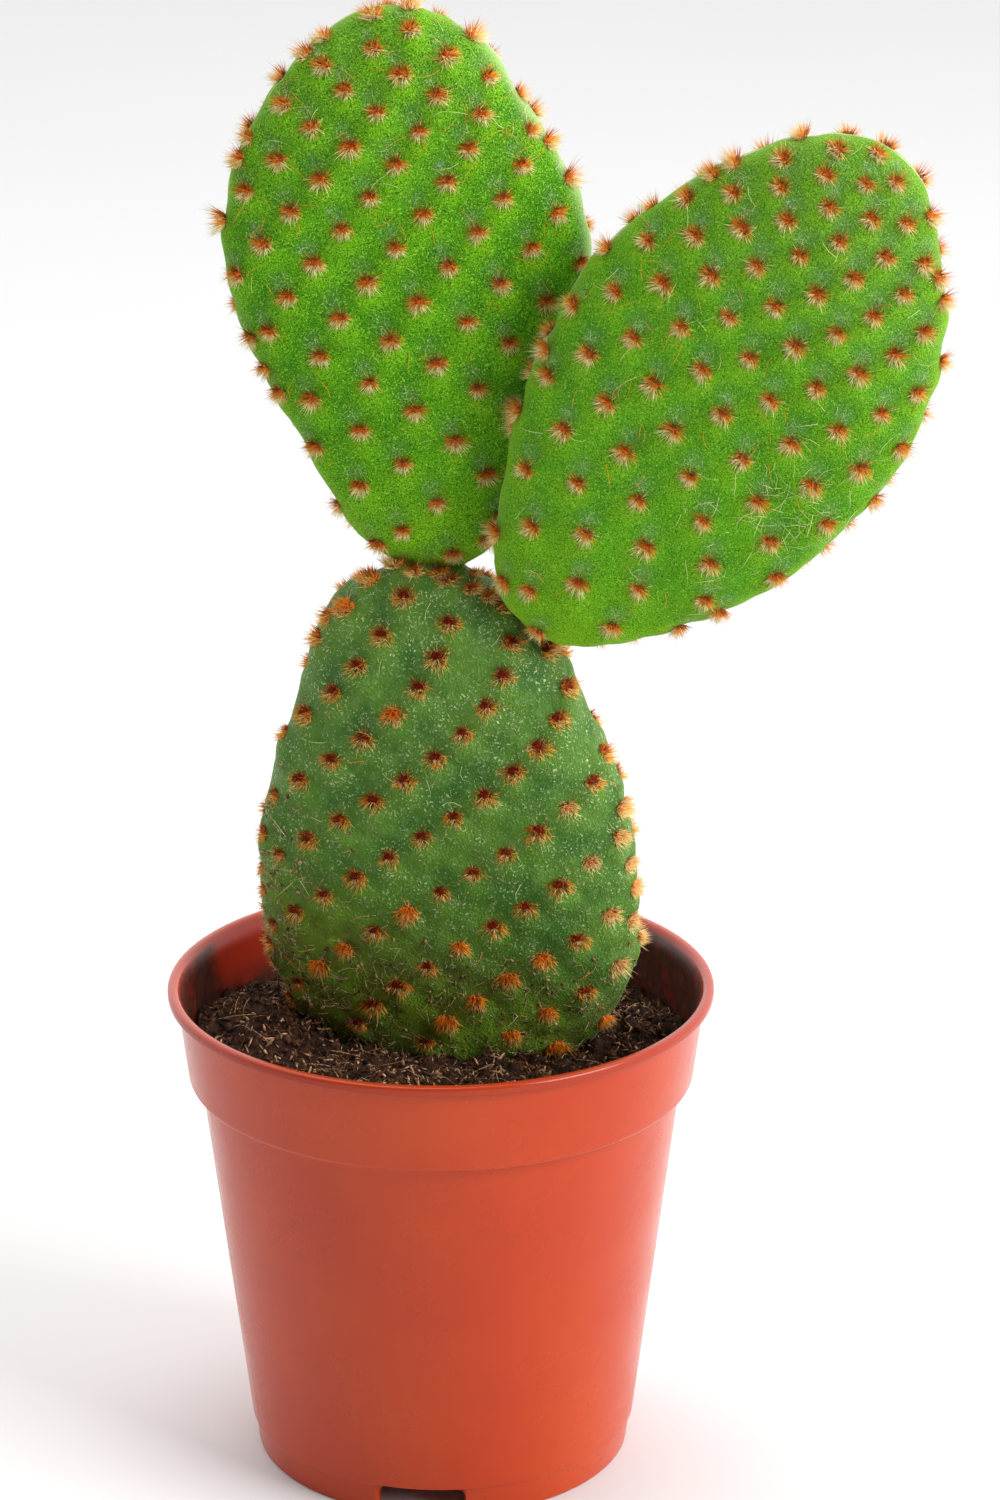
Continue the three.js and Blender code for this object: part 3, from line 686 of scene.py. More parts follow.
def tuft_spots(pad):
    """Where a pad's tufts stand, in its own frame: each takes an even share of the skin from
    the base up, and lies a fixed part of the girth further round than the one before it.
    Those of the edge come after them."""
    bottom, top = -edge_radius(pad, np.pi), edge_radius(pad, 0.0)
    rise = np.cos(np.pi * (np.arange(SKIN_ROWS + 1) + 0.2) / (SKIN_ROWS + 0.4))
    heights = (top + bottom) / 2 - (top - bottom) / 2 * rise
    loops = pad_sections(pad, heights)
    up = loops[1:] - loops[:-1]
    along = (np.roll(loops, -1, axis=1) - loops)[:-1]
    rings = np.linalg.norm(np.cross(up, along), axis=-1).sum(axis=1)
    below = np.concatenate([[0], np.cumsum(rings)])
    skin = below[-1]
    count = int(np.ceil(skin / pad["skin_per_tuft"] - pad["first_share"]))
    order = np.arange(count)
    even = (order + pad["first_share"]) * pad["skin_per_tuft"] / skin
    share = even + pad["crowding"] * even * (1 - even)
    row = np.minimum(np.searchsorted(below[1:], share * skin), SKIN_ROWS - 1)
    part = np.minimum(1, (share * skin - below[row]) / (below[row + 1] - below[row]))
    loops = pad_sections(pad, heights[row] + (heights[row + 1] - heights[row]) * part)
    sides = np.linalg.norm(np.roll(loops, -1, axis=1) - loops, axis=-1)
    lengths = np.concatenate([np.zeros((count, 1)), np.cumsum(sides, axis=1)], axis=1)
    wanted = (pad["phase"] - order * pad["turn_per_tuft"]) % 1 * lengths[:, -1]
    step = np.sum(lengths[:, 1:] < wanted[:, None], axis=1)
    begin = loops[order, step]
    end = loops[order, (step + 1) % loops.shape[1]]
    spots = begin + (end - begin) * ((wanted - lengths[order, step]) / sides[order, step])[:, None]
    return np.concatenate([spots, edge_spots(pad, spots)])


def skin_axes(pad, points):
    """Outward, upward and rightward directions on the skin at each point, in the pad's frame."""
    outward = unit(skin_slope(pad, points))
    upward = unit(np.array([0.0, 0.0, 1.0]) - outward * outward[:, 2:3] + 1e-4)
    return outward, upward, np.cross(upward, outward)


def bells(points, middles, width):
    """For each point, the highest of the smooth bells of a width that stand on the middles."""
    apart = (points**2).sum(-1)[:, None] + (middles**2).sum(-1) - 2 * points @ middles.T
    return np.exp(-np.min(apart, axis=1) / (2 * width**2))


# Where each mark of a tuft lies on the skin, by how far up and how far to the right of it, and
# how wide it is: the swelling, the hollow above it, the pit and the fuzz in the hollow. The skins
# paint a highlight on the swelling, and the young ones paint shade in the hollow.
TUFT_MARKS = {
    "below": (-1.9, 0, 1.9), "above": (2.5, -0.9, 1.5), "near": (0, 0, 0.9), "fuzzy": (2.3, -0.8, 0.85),
}


def skin_marks(pad, points):
    """How near points of a pad's own frame are to each mark of a tuft, from 0 to 1."""
    spots = tuft_spots(pad)
    _, upward, aside = skin_axes(pad, spots)
    return {
        mark: bells(points, spots + rise * upward + across * aside, width)
        for mark, (rise, across, width) in TUFT_MARKS.items()
    }


def swollen(pad, points):
    """Points of a pad's even skin moved along its normal: it swells under each tuft and sinks
    above it, has a pit in which the tuft sits, and waves a little all over."""
    marks = skin_marks(pad, points)
    x, y, z = points.T
    long_waves = 0.22 * np.sin(0.23 * x + 0.5 * y) * np.sin(0.19 * z + 1)
    waves = long_waves + 0.12 * np.sin(0.51 * x - 0.37 * z + y)
    rise = pad["swelling"] * (marks["below"] - 0.45 * marks["above"]) - pad["pit"] * marks["near"]
    return points + unit(skin_slope(pad, points)) * (rise + waves - 0.15)[:, None]


def make_pad(name, pad):
    """A pad's closed skin on a grid of angles and turns. It keeps the marks of its tufts, how
    far each point lies from the seam along the edge, its share of the way from the base to the
    tip, and how far across it lies."""
    angles = np.linspace(0, 2 * np.pi, PAD_COLUMNS, endpoint=False)
    turns = np.linspace(0, np.pi, PAD_RINGS + 2)[1:-1, None]
    rings = pad_skin(pad, angles, turns)
    ends = pad_skin(pad, np.zeros(2), np.array([0.0, np.pi]))
    points, faces = closed_rings(rings, ends[0], ends[1])
    piece = mesh_object(name, grown(pad, swollen(pad, points)), faces)
    seam = np.concatenate([np.repeat(turns[:, 0], PAD_COLUMNS), [0, np.pi]]) - np.pi / 2
    tip, base = pad["edge_radii"][0], pad["edge_radii"][6]
    kept = skin_marks(pad, points)
    kept["seam"] = seam * pad["half_thickness"] * 1.2
    kept["rise"] = (points[:, 2] + base) / (base + tip)
    kept["across"] = points[:, 0]
    for label, values in kept.items():
        keep_number(piece, label, values)
    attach(piece, "root")
    return piece


old_pad = make_pad("pad_lower_flesh", OLD_PAD)
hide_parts("pad_lower")

OLD_GREEN, OLD_DEEP, OLD_BASE = shade(80, 122, 36), shade(48, 94, 28), shade(100, 120, 38)
OLD_HIGHLIGHT_AND_GRAIN, OLD_DUST = shade(98, 140, 34), shade(116, 148, 82)
OLD_SPECK, OLD_GRIME, OLD_PIT = shade(206, 214, 170), shade(62, 54, 28), shade(70, 20, 10)
OLD_MOSS = shade(112, 148, 34)
# Waves per metre of the clouds of green, the fine and the finest grain, the film of dust, the
# specks and where they crowd, and the moss and the grime at the foot
OLD_CLOUD, OLD_FINE, OLD_FINEST, OLD_FILM = 130.0, 2600.0, 4200.0, 620.0
SPECK_FINE, SPECK_CLOUD, MOSS_CLOUD, GRIME_CLOUD = 2600.0, 210.0, 90.0, 300.0
# Heights in metres over which the foot turns yellow and grimy. Both reach higher on the left
# by a slope in metres for each millimetre across, and their line waves.
YELLOW_TURN, GRIME_TURN, FOOT_SLOPE, FOOT_WAVE = (0.108, 0.090), (0.106, 0.086), 0.0004, 0.03

old_skin, old_shader = new_material(
    "old pad skin", Specular_IOR_Level=0.16, Sheen_Weight=0.04, Sheen_Roughness=0.5,
    Sheen_Tint=(0.75, 0.9, 0.65, 1.0),
)
old_place = place_on(old_skin)
_, _, old_z = axes_of(old_skin, old_place)
old_cloud = noise(old_skin, old_place, OLD_CLOUD, 4.0)
old_fine = noise(old_skin, old_place, OLD_FINE, 2.0, 0.6)
old_finest = noise(old_skin, old_place, OLD_FINEST, 2.0, 0.6)
old_edge = step_of(old_skin, reckon(old_skin, "ABSOLUTE", kept_on(old_skin, "seam")[0]), 6.0, 1.0)
old_film = step_of(old_skin, noise(old_skin, old_place, OLD_FILM, 4.0, 0.7), 0.45, 0.72)
old_dust = reckon(old_skin, "MULTIPLY", old_film, scaled(old_skin, old_edge, 0.4, 0.45))
specks = step_of(old_skin, noise(old_skin, old_place, SPECK_FINE, 3.0, 0.6), 0.58, 0.66)
crowded = step_of(old_skin, noise(old_skin, old_place, SPECK_CLOUD, 4.0, 0.6), 0.40, 0.64)
specks = reckon(old_skin, "MULTIPLY", specks, scaled(old_skin, crowded, 0.85, 0.15))
foot_line = scaled(old_skin, old_cloud, FOOT_WAVE, old_z)
foot_line = scaled(old_skin, kept_on(old_skin, "across")[0], FOOT_SLOPE, foot_line)
mossy = step_of(old_skin, noise(old_skin, old_place, MOSS_CLOUD, 4.0, 0.6), 0.44, 0.56)
grimy = step_of(old_skin, noise(old_skin, old_place, GRIME_CLOUD, 5.0, 0.75), 0.46, 0.62)
grimy = reckon(old_skin, "MULTIPLY", grimy, step_of(old_skin, foot_line, *GRIME_TURN))
old_tone = mixed(old_skin, step_of(old_skin, old_cloud, 0.36, 0.64), OLD_DEEP, OLD_GREEN)
old_tone = layered(old_skin, old_tone, [
    # Painted highlight on the swelling below each tuft; the same pale green also marks the fine grain
    (kept_on(old_skin, "below")[0], 0.6, OLD_HIGHLIGHT_AND_GRAIN),
    (old_dust, 1.0, OLD_DUST),
    (step_of(old_skin, old_finest, 0.48, 0.34), 0.6, OLD_DEEP),
    (step_of(old_skin, old_fine, 0.62, 0.74), 1.0, OLD_HIGHLIGHT_AND_GRAIN),
    (specks, 0.8, OLD_SPECK),
    (step_of(old_skin, foot_line, *YELLOW_TURN), 0.85, mixed(old_skin, mossy, OLD_BASE, OLD_MOSS)),
    (grimy, 0.75, OLD_GRIME),
    (step_of(old_skin, kept_on(old_skin, "near")[0], 0.35, 0.9), 1.0, OLD_PIT),
])
old_relief = scaled(old_skin, old_dust, 0.6, old_fine)
finish_with(old_skin, old_shader, old_tone, old_relief, 0.00030, scaled(old_skin, old_dust, 0.5, 0.45))
old_pad.data.materials.append(old_skin)


# ---------------------------------------------------------------------------------------
# The two young pads: thinner segments of fresh grass green that grow from the old pad's top
# on short narrow necks. Their skin is soft and velvety, with a painted highlight below every tuft.
# ---------------------------------------------------------------------------------------
LEFT_PAD = {
    "centre": (-3.4, 1, 205.7), "roll": -3.4, "lean": 0, "yaw": 3, "half_thickness": 6.4, "arch": 0,
    "edge_radii": [23.9, 21.5, 19.1, 22, 29.2, 38.2, 61.8, 42.3, 32.9, 27.2, 23.7, 23.8],
    "turn_per_tuft": 0.2764, "phase": 0.4385, "skin_per_tuft": 50.9, "crowding": 0.285, "first_share": 0.28,
    "swelling": 0.45, "pit": 0.3, "neck": (-0.4, 0.6, 142.7), "neck_reach": (5.6, 2.4, 2.6),
}
RIGHT_PAD = {
    "centre": (41.9, -15, 181.1), "roll": 35, "lean": 4, "yaw": 10, "half_thickness": 6.4, "arch": -1,
    "edge_radii": [39.5, 34.1, 30.5, 30, 32.8, 41.5, 52.3, 34.9, 26.5, 24, 24.8, 30.5],
    "turn_per_tuft": 0.6183, "phase": 0.193, "skin_per_tuft": 48.3, "crowding": 0.5, "first_share": 0.18,
    "swelling": 0.45, "pit": 0.3, "neck": (15.5, -3.6, 139.5), "neck_reach": (4.8, 4.6, 5.2),
}

YOUNG_GRAIN, YOUNG_DOT, YOUNG_BLOOM = shade(26, 84, 2), shade(150, 204, 54), shade(168, 200, 140)
# The two edge colours are painted highlights along the rim
YOUNG_EDGE_HIGHLIGHT, YOUNG_RIGHT_EDGE_HIGHLIGHT = shade(140, 188, 44), shade(206, 222, 176)
YOUNG_SEAM, YOUNG_PIT = shade(206, 206, 160), shade(120, 52, 14)
# Waves per metre of the clouds of green, the pale dots, the dark grain and the bloom
YOUNG_CLOUD, DOT_WAVES, GRAIN_WAVES, BLOOM_WAVES = 150.0, 3700.0, 4400.0, 3800.0

left_pad = make_pad("pad_left_flesh", LEFT_PAD)
right_pad = make_pad("pad_right_flesh", RIGHT_PAD)
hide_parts("pad_upper_left")
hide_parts("pad_upper_right")


def young_skin(name, green, deep, base, tip, swelling, hollow, grit, bloom, right_highlight):
    """Velvety young skin: cloudy green from a bright base to a duller tip, with a painted highlight
    of yellower green on each swelling, painted shade of bluer green in the hollow above it, pale
    dots and dark grain all over by a share, a thin grey bloom by another, a paler strip along the
    edge that is a painted highlight, and a pale line along the edge. The edge towards +X gets a
    paler painted highlight by a share of its own."""
    skin, shader = new_material(
        name, Specular_IOR_Level=0.10, Sheen_Weight=0.04, Sheen_Roughness=0.45,
        Sheen_Tint=(0.85, 1.0, 0.6, 1.0),
    )
    place = place_on(skin)
    cloud = noise(skin, place, YOUNG_CLOUD, 4.0)
    dots = noise(skin, place, DOT_WAVES, 2.0, 0.6)
    grain = noise(skin, place, GRAIN_WAVES, 2.0, 0.6)
    rise = scaled(skin, cloud, 0.3, kept_on(skin, "rise")[0])
    haze = step_of(skin, noise(skin, place, BLOOM_WAVES, 3.0, 0.7), 0.36, 0.66)
    haze = reckon(skin, "MULTIPLY", haze, kept_on(skin, "fuzzy")[0])
    edge = reckon(skin, "ABSOLUTE", kept_on(skin, "seam")[0])
    right = step_of(skin, kept_on(skin, "across")[0], 6.0, 16.0)
    right_edge_highlight = reckon(skin, "MULTIPLY", step_of(skin, edge, 3.4, 0.6), right)
    seam = reckon(skin, "MULTIPLY", step_of(skin, edge, 0.34, 0.1), step_of(skin, cloud, 0.40, 0.52))
    tone = layered(skin, mixed(skin, step_of(skin, cloud, 0.38, 0.62), deep, green), [
        (step_of(skin, rise, 0.42, 0.12), 1.0, base),
        (step_of(skin, rise, 0.75, 1.12), 0.75, tip),
        # Painted highlight on the swelling below each tuft, and painted shade in the hollow above it
        (kept_on(skin, "below")[0], 0.95, swelling),
        (kept_on(skin, "above")[0], 0.65, hollow),
        (step_of(skin, grain, 0.53, 0.38), grit, YOUNG_GRAIN),
        (step_of(skin, dots, 0.55, 0.65), grit, YOUNG_DOT),
        (haze, bloom, YOUNG_BLOOM),
        # Painted highlight along the narrow edge, and a paler one on the edge towards +X, the side of the
        # right panel
        (step_of(skin, edge, 3.0, 0.8), 0.35, YOUNG_EDGE_HIGHLIGHT),
        (right_edge_highlight, right_highlight, YOUNG_RIGHT_EDGE_HIGHLIGHT),
        (seam, 0.75, YOUNG_SEAM),
        (kept_on(skin, "near")[0], 0.5, YOUNG_PIT),
    ])
    relief = reckon(skin, "ADD", dots, grain)
    finish_with(skin, shader, tone, relief, 0.00016, scaled(skin, cloud, 0.2, 0.42))
    return skin


left_pad.data.materials.append(young_skin(
    "left pad skin", green=shade(86, 164, 4), deep=shade(62, 140, 4), base=shade(118, 186, 2),
    tip=shade(106, 160, 44), swelling=shade(114, 184, 2), hollow=shade(60, 124, 24),
    grit=0.86, bloom=0.22, right_highlight=0.4,
))
right_pad.data.materials.append(young_skin(
    "right pad skin", green=shade(92, 168, 18), deep=shade(70, 144, 18), base=shade(118, 180, 8),
    tip=shade(108, 156, 66), swelling=shade(116, 180, 14), hollow=shade(66, 130, 40),
    grit=0.72, bloom=0.34, right_highlight=0.0,
))

CORK_DARK, CORK_PALE = shade(40, 52, 16), shade(92, 100, 38)

cork, cork_shader = new_material("corky skin", Roughness=0.8, Specular_IOR_Level=0.15)
cork_cloud = noise(cork, place_on(cork), 700.0, 5.0, 0.7)
cork_tone = mixed(cork, step_of(cork, cork_cloud, 0.4, 0.62), CORK_DARK, CORK_PALE)
finish_with(cork, cork_shader, cork_tone, cork_cloud, 0.0005)


def make_neck(name, pad):
    """The narrow corky neck under a young pad: an ellipsoid whose radius waves in rings."""
    turns = np.linspace(0, 2 * np.pi, 48, endpoint=False)
    falls = np.linspace(np.pi, 0, 26)[1:-1, None]
    reach = 1 + 0.05 * np.sin(9 * falls) + 0.04 * np.sin(5 * turns + 3 * falls)
    rings = np.stack([
        reach * np.sin(falls) * np.cos(turns), reach * np.sin(falls) * np.sin(turns),
        reach * np.cos(falls) + 0 * turns,
    ], axis=-1)
    points, faces = closed_rings(rings, (0, 0, -1), (0, 0, 1))
    piece = mesh_object(name, points * np.array(pad["neck_reach"]) + np.array(pad["neck"]), faces)
    piece.data.materials.append(cork)
    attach(piece, "root")


make_neck("neck_left", LEFT_PAD)
make_neck("neck_right", RIGHT_PAD)


# ---------------------------------------------------------------------------------------
# The bristle tufts: from each cushion of felt stands a brush of hair-fine barbed bristles,
# with no long spine. They are orange in the middle and fan out in longer cream ones below. Their
# upper side is dark rust: partly their own dark bases, partly painted shade. Old ones are maroon and hollow.
# ---------------------------------------------------------------------------------------
MAROON, RUST, ORANGE = shade(112, 18, 4), shade(240, 98, 8), shade(255, 156, 24)
FLAME, PALE, CREAM = shade(252, 110, 6), shade(255, 222, 124), shade(255, 252, 186)
BRISTLE_SHADOW = shade(120, 40, 10)
BRISTLES_PER_TUFT, FRINGE_PER_TUFT, STRAYS_PER_TUFT, LOCKS_PER_TUFT = 140, 28, 18, 11
TUFT_CLEARANCE = 0.6  # from a tuft's middle to the skin of another pad


def clip_to_part(points):
    """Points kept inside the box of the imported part, which no hair may leave."""
    low, high = ((np.array(corner) - POT_FOOT) / MM for corner in cad_box)
    return np.clip(points, low, high)


def blended(first, second, share):
    """Colours part of the way from one to another, one for each share."""
    share = np.clip(share, 0, 1)[:, None]
    return np.asarray(first) * (1 - share) + np.asarray(second) * share


def stacked_sides(corners, levels):
    """Triangles of the sides between rings of some corners, one ring on top of the other."""
    faces = []
    for level in range(levels):
        for corner in range(corners):
            a, b = corners * level + corner, corners * level + (corner + 1) % corners
            faces += [[a, b, b + corners], [a, b + corners, a + corners]]
    return faces


def copied(faces, points, copies):
    """The faces of one small shape made into those of many, each with its own points."""
    return (np.array(faces) + points * np.arange(copies)[:, None, None]).reshape(-1, 3)


def hairs(roots, ends, width, root_tint, tip_tint, bow=0.0, parts=1):
    """Hairs that narrow to a point: three corners round each of some places on the way from
    the root to the end, pushed by the bow times four times the share gone and the share left.
    The colour turns on the way. Returns points, triangles and a colour for each point."""
    away = ends - roots
    aside = unit(np.cross(away, [0.31, 0.52, 0.79]))
    square = unit(np.cross(away, aside))
    width = np.broadcast_to(width, len(roots))[:, None]
    rows, tints = [], []
    for part in range(parts):
        share = part / parts
        middle = roots + away * share + bow * 4 * share * (1 - share)
        for turn in np.arange(3) * 2 * np.pi / 3:
            corner = np.cos(turn) * aside + np.sin(turn) * square
            rows.append(middle + width * (1 - 0.6 * share) * corner)
            tints.append(root_tint * (1 - share) + tip_tint * share)
    points = clip_to_part(np.stack([*rows, ends], axis=1).reshape(-1, 3))
    tints = np.stack([*tints, tip_tint], axis=1).reshape(-1, 3)
    faces = [[0, 2, 1], *stacked_sides(3, parts - 1)]
    last = 3 * (parts - 1)
    faces += [[last + corner, last + (corner + 1) % 3, 3 * parts] for corner in range(3)]
    return points, copied(faces, 3 * parts + 1, len(roots)), tints


def tufts_at(pad, spots, seed, sizes=None):
    """Tufts at some spots of a pad's own frame: their places and directions on the whole plant,
    their sizes, by chance if none are given, and how far each faces along the pad's rim. None
    is hollow, flame orange or pale yet."""
    draw = np.random.default_rng(seed)
    axes = skin_axes(pad, spots)
    outward, upward, aside = (axis @ pad_turn(pad).T for axis in axes)
    tufts = {
        "draw": draw, "spots": spots, "place": grown(pad, swollen(pad, spots)),
        "outward": outward, "upward": upward, "aside": aside, "rim": 1 - np.abs(axes[0][:, 1]),
        "size": draw.uniform(0.85, 1.15, len(spots)) if sizes is None else sizes,
    }
    return {**tufts, **{trait: np.zeros(len(spots)) for trait in ("hollow", "flame", "pale")}}


def free_tufts(pad, others, seed):
    """A pad's tufts, less those under the soil and those that would stand in another pad."""
    spots = tuft_spots(pad)
    place = grown(pad, spots)
    away = np.hypot(place[:, 0], place[:, 1])
    keep = (away > LIP_RADIUS) | (place[:, 2] > soil_height(place[:, 0], place[:, 1]) + 1.0)
    for other in others:
        own = within(other, place)
        clear = (skin_level(other, own) - 1) / np.linalg.norm(skin_slope(other, own), axis=-1)
        keep &= clear > TUFT_CLEARANCE
    return tufts_at(pad, spots[keep], seed)


def on_tufts(tufts, which, across, rise, lift):
    """Places beside some tufts: so far to the right, so far up and so far out from each."""
    size = tufts["size"][which]
    shift = tufts["aside"][which] * (size * across)[:, None] + tufts["upward"][which] * (size * rise)[:, None]
    return tufts["place"][which] + shift + tufts["outward"][which] * lift


def along_tufts(tufts, which, across, rise, out):
    """Directions at some tufts, from their shares to the right, up and out."""
    return unit(
        tufts["aside"][which] * across[:, None] + tufts["upward"][which] * rise[:, None]
        + tufts["outward"][which] * out[:, None]
    )


def dense_brush(tufts, oval, reach, spread):
    """The dome of short bristles. Roots are drawn evenly over an oval and lean away from its
    middle by the spread times their place on it, and in locks that share a lean, a length and
    a shade. In a hollow tuft the bristles above the middle are short and dark. The upper ones
    are dark too, partly for their own dark bases and partly as painted shade, and the lower
    ones pale. On the rim of a pad they are longer."""
    draw = tufts["draw"]
    which = np.repeat(np.arange(len(tufts["place"])), BRISTLES_PER_TUFT)
    lock = which * LOCKS_PER_TUFT + draw.integers(0, LOCKS_PER_TUFT, len(which))
    locks = draw.normal(0, 1, (3, len(tufts["place"]) * LOCKS_PER_TUFT))
    lock_lean, lock_size, lock_shade = locks[:, lock]
    turn, ring = draw.uniform(0, 2 * np.pi, len(which)), np.sqrt(draw.uniform(0, 1, len(which)))
    across, rise = ring * np.cos(turn), ring * np.sin(turn)
    away = np.hypot(across + 0.12, rise - 0.28)
    hollow = tufts["hollow"][which] * np.clip(1.45 - 1.5 * away + draw.normal(0, 0.12, len(which)), 0, 1)
    root = on_tufts(tufts, which, oval[0] * across, oval[1] * rise, -0.3)
    lean = spread * draw.uniform(0.6, 1.35, len(which))
    push = along_tufts(
        tufts, which, lean * across + 0.28 * lock_lean + draw.normal(0, 0.18, len(which)),
        lean * rise - 0.06 + draw.normal(0, 0.22, len(which)), np.ones(len(which)),
    )
    length = tufts["size"][which] * reach * draw.uniform(0.6, 1.15, len(which)) * (1 - 0.5 * hollow)
    length = length * np.clip(1 + 0.14 * lock_size, 0.7, 1.3) * (1 + 0.55 * tufts["rim"][which])
    end = root + push * (length + 0.3)[:, None]
    flame, pale = tufts["flame"][which], tufts["pale"][which]
    light = 0.13 * lock_shade + draw.normal(0, 0.2, len(which))
    # Towards the upper side the tint turns rust, then maroon: partly the bristles' own dark bases, partly
    # painted shade
    tint = blended(RUST, ORANGE, 0.55 - 0.35 * rise + 0.3 * flame + light)
    tint = blended(tint, FLAME, flame * draw.uniform(0.4, 1.0, len(which)))
    dark = (1 - flame) * (1 - 0.7 * pale) * ((rise - 0.3) * 2.0 + draw.normal(0, 0.15, len(which)))
    tint = blended(tint, MAROON, np.maximum(dark, 1.2 * hollow))
    low = (-rise - 0.1 - 0.6 * tufts["hollow"][which] - 0.5 * flame) * 1.4 + light
    tint = blended(tint, CREAM, np.maximum(pale * draw.uniform(0.2, 1.0, len(which)), low))
    tip = blended(tint, PALE, (1 - hollow) * (0.15 + 0.3 * np.clip(-rise, 0, 1)) * (rise < 0.4))
    return hairs(root, end, oval[0] * draw.uniform(0.065, 0.1, len(which)), tint, tip)


def low_fringe(tufts, reach, creamy):
    """The longer bristles that fan out and down from the lower rim and bend back a little."""
    draw = tufts["draw"]
    which = np.repeat(np.arange(len(tufts["place"])), FRINGE_PER_TUFT)
    turn = np.pi + np.pi * draw.beta(1.5, 1.5, len(which))
    ring = draw.uniform(0.1, 1.0, len(which))
    across, rise = ring * np.cos(turn), ring * np.sin(turn)
    root = on_tufts(tufts, which, 0.8 * across, 0.6 * rise, -0.2)
    push = along_tufts(
        tufts, which, across + draw.normal(0, 0.4, len(which)),
        rise * draw.uniform(0.5, 1.5, len(which)) - 0.15, draw.uniform(0.45, 1.2, len(which)),
    )
    length = tufts["size"][which] * reach * draw.uniform(0.4, 1.2, len(which))
    tip = blended(PALE, CREAM, creamy + draw.normal(0, 0.35, len(which)))
    root_tint = blended(ORANGE, CREAM, creamy * draw.uniform(0.2, 1.4, len(which)))
    bow = tufts["outward"][which] * draw.uniform(0.05, 0.3, len(which))[:, None]
    end = root + push * length[:, None]
    return hairs(root, end, draw.uniform(0.05, 0.095, len(which)), root_tint, tip, bow, 2)


def stray_bristles(tufts, reach):
    """A few long single bristles that stand off each tuft in any direction."""
    draw = tufts["draw"]
    which = np.repeat(np.arange(len(tufts["place"])), STRAYS_PER_TUFT)
    turn = draw.uniform(0, 2 * np.pi, len(which))
    root = on_tufts(tufts, which, 0.6 * np.cos(turn), 0.5 * np.sin(turn), -0.1)
    push = along_tufts(tufts, which, np.cos(turn), np.sin(turn), draw.uniform(0.25, 0.9, len(which)))
    length = reach * draw.uniform(0.5, 1.15, len(which))
    tint = blended(RUST, CREAM, draw.uniform(-0.8, 1.0, len(which)))
    return hairs(root, root + push * length[:, None], 0.045, tint, tint)


def felt_cushions(tufts, reach, lift):
    """The low dome of felt under each tuft: six corners on each of three rings that narrow
    upwards, and a top, in the tuft's own directions."""
    turns = np.arange(6) * np.pi / 3
    levels = [(1.0, -0.6), (0.85, 0.35 * lift), (0.5, 0.8 * lift)]
    corners = [(ring * np.cos(turn), ring * np.sin(turn), level) for ring, level in levels for turn in turns]
    corners = np.array([*corners, (0, 0, lift)])
    count = len(tufts["place"])
    which = np.repeat(np.arange(count), len(corners))
    across, rise, level = np.tile(corners, (count, 1)).T
    points = on_tufts(tufts, which, reach[0] * across, reach[1] * rise, level[:, None])
    faces = stacked_sides(6, 2)
    faces += [[12 + step, 12 + (step + 1) % 6, 18] for step in range(6)]
    faces += [[0, step + 1, step] for step in range(1, 5)]
    # Darker towards each cushion's upper side as painted shade, as on the brush; hollow ones are maroon all
    # over
    tint = blended(RUST, MAROON, 0.45 + 0.55 * tufts["hollow"][which] + 0.3 * rise)
    return points, copied(faces, len(corners), count), tint


def keep_colour(piece, name, colours):
    """Keeps a linear colour for each point of a piece, for its material to read."""
    layer = piece.data.attributes.new(name, "FLOAT_COLOR", "POINT")
    four = np.concatenate([colours, np.ones((len(colours), 1))], axis=1)
    layer.data.foreach_set("color", four.astype(np.float32).ravel())


def gather(name, parts, material):
    """One piece from several groups of points, triangles and a colour for each point."""
    offsets = np.cumsum([0] + [len(points) for points, _, _ in parts[:-1]])
    points = np.concatenate([points for points, _, _ in parts])
    faces = np.concatenate([triangles + offset for (_, triangles, _), offset in zip(parts, offsets)])
    piece = mesh_object(name, points, [faces])
    keep_colour(piece, "tint", np.concatenate([tints for _, _, tints in parts]))
    piece.data.materials.append(material)
    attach(piece, "root")


bristle, bristle_shader = new_material(
    "bristles", Specular_IOR_Level=0.06, Subsurface_Weight=0.35, Subsurface_Radius=(1.0, 0.6, 0.25),
    Subsurface_Scale=0.0003, Sheen_Weight=0.5, Sheen_Roughness=0.5, Sheen_Tint=(1.0, 0.7, 0.25, 1.0),
)
bristle_cloud = noise(bristle, place_on(bristle), 1800.0, 2.0)
bristle_tint = kept_on(bristle, "tint")[1]
bristle_deep = mixed(bristle, 0.18, bristle_tint, BRISTLE_SHADOW)
bristle_tone = mixed(bristle, step_of(bristle, bristle_cloud, 0.5, 0.35), bristle_tint, bristle_deep)
bristle_gloss = scaled(bristle, bristle_cloud, 0.2, 0.4)
finish_with(bristle, bristle_shader, bristle_tone, bristle_cloud, 0.00002, bristle_gloss)

left_tufts = free_tufts(LEFT_PAD, [OLD_PAD, RIGHT_PAD], 11)
right_tufts = free_tufts(RIGHT_PAD, [OLD_PAD, LEFT_PAD], 12)
old_tufts = free_tufts(OLD_PAD, [LEFT_PAD, RIGHT_PAD], 13)

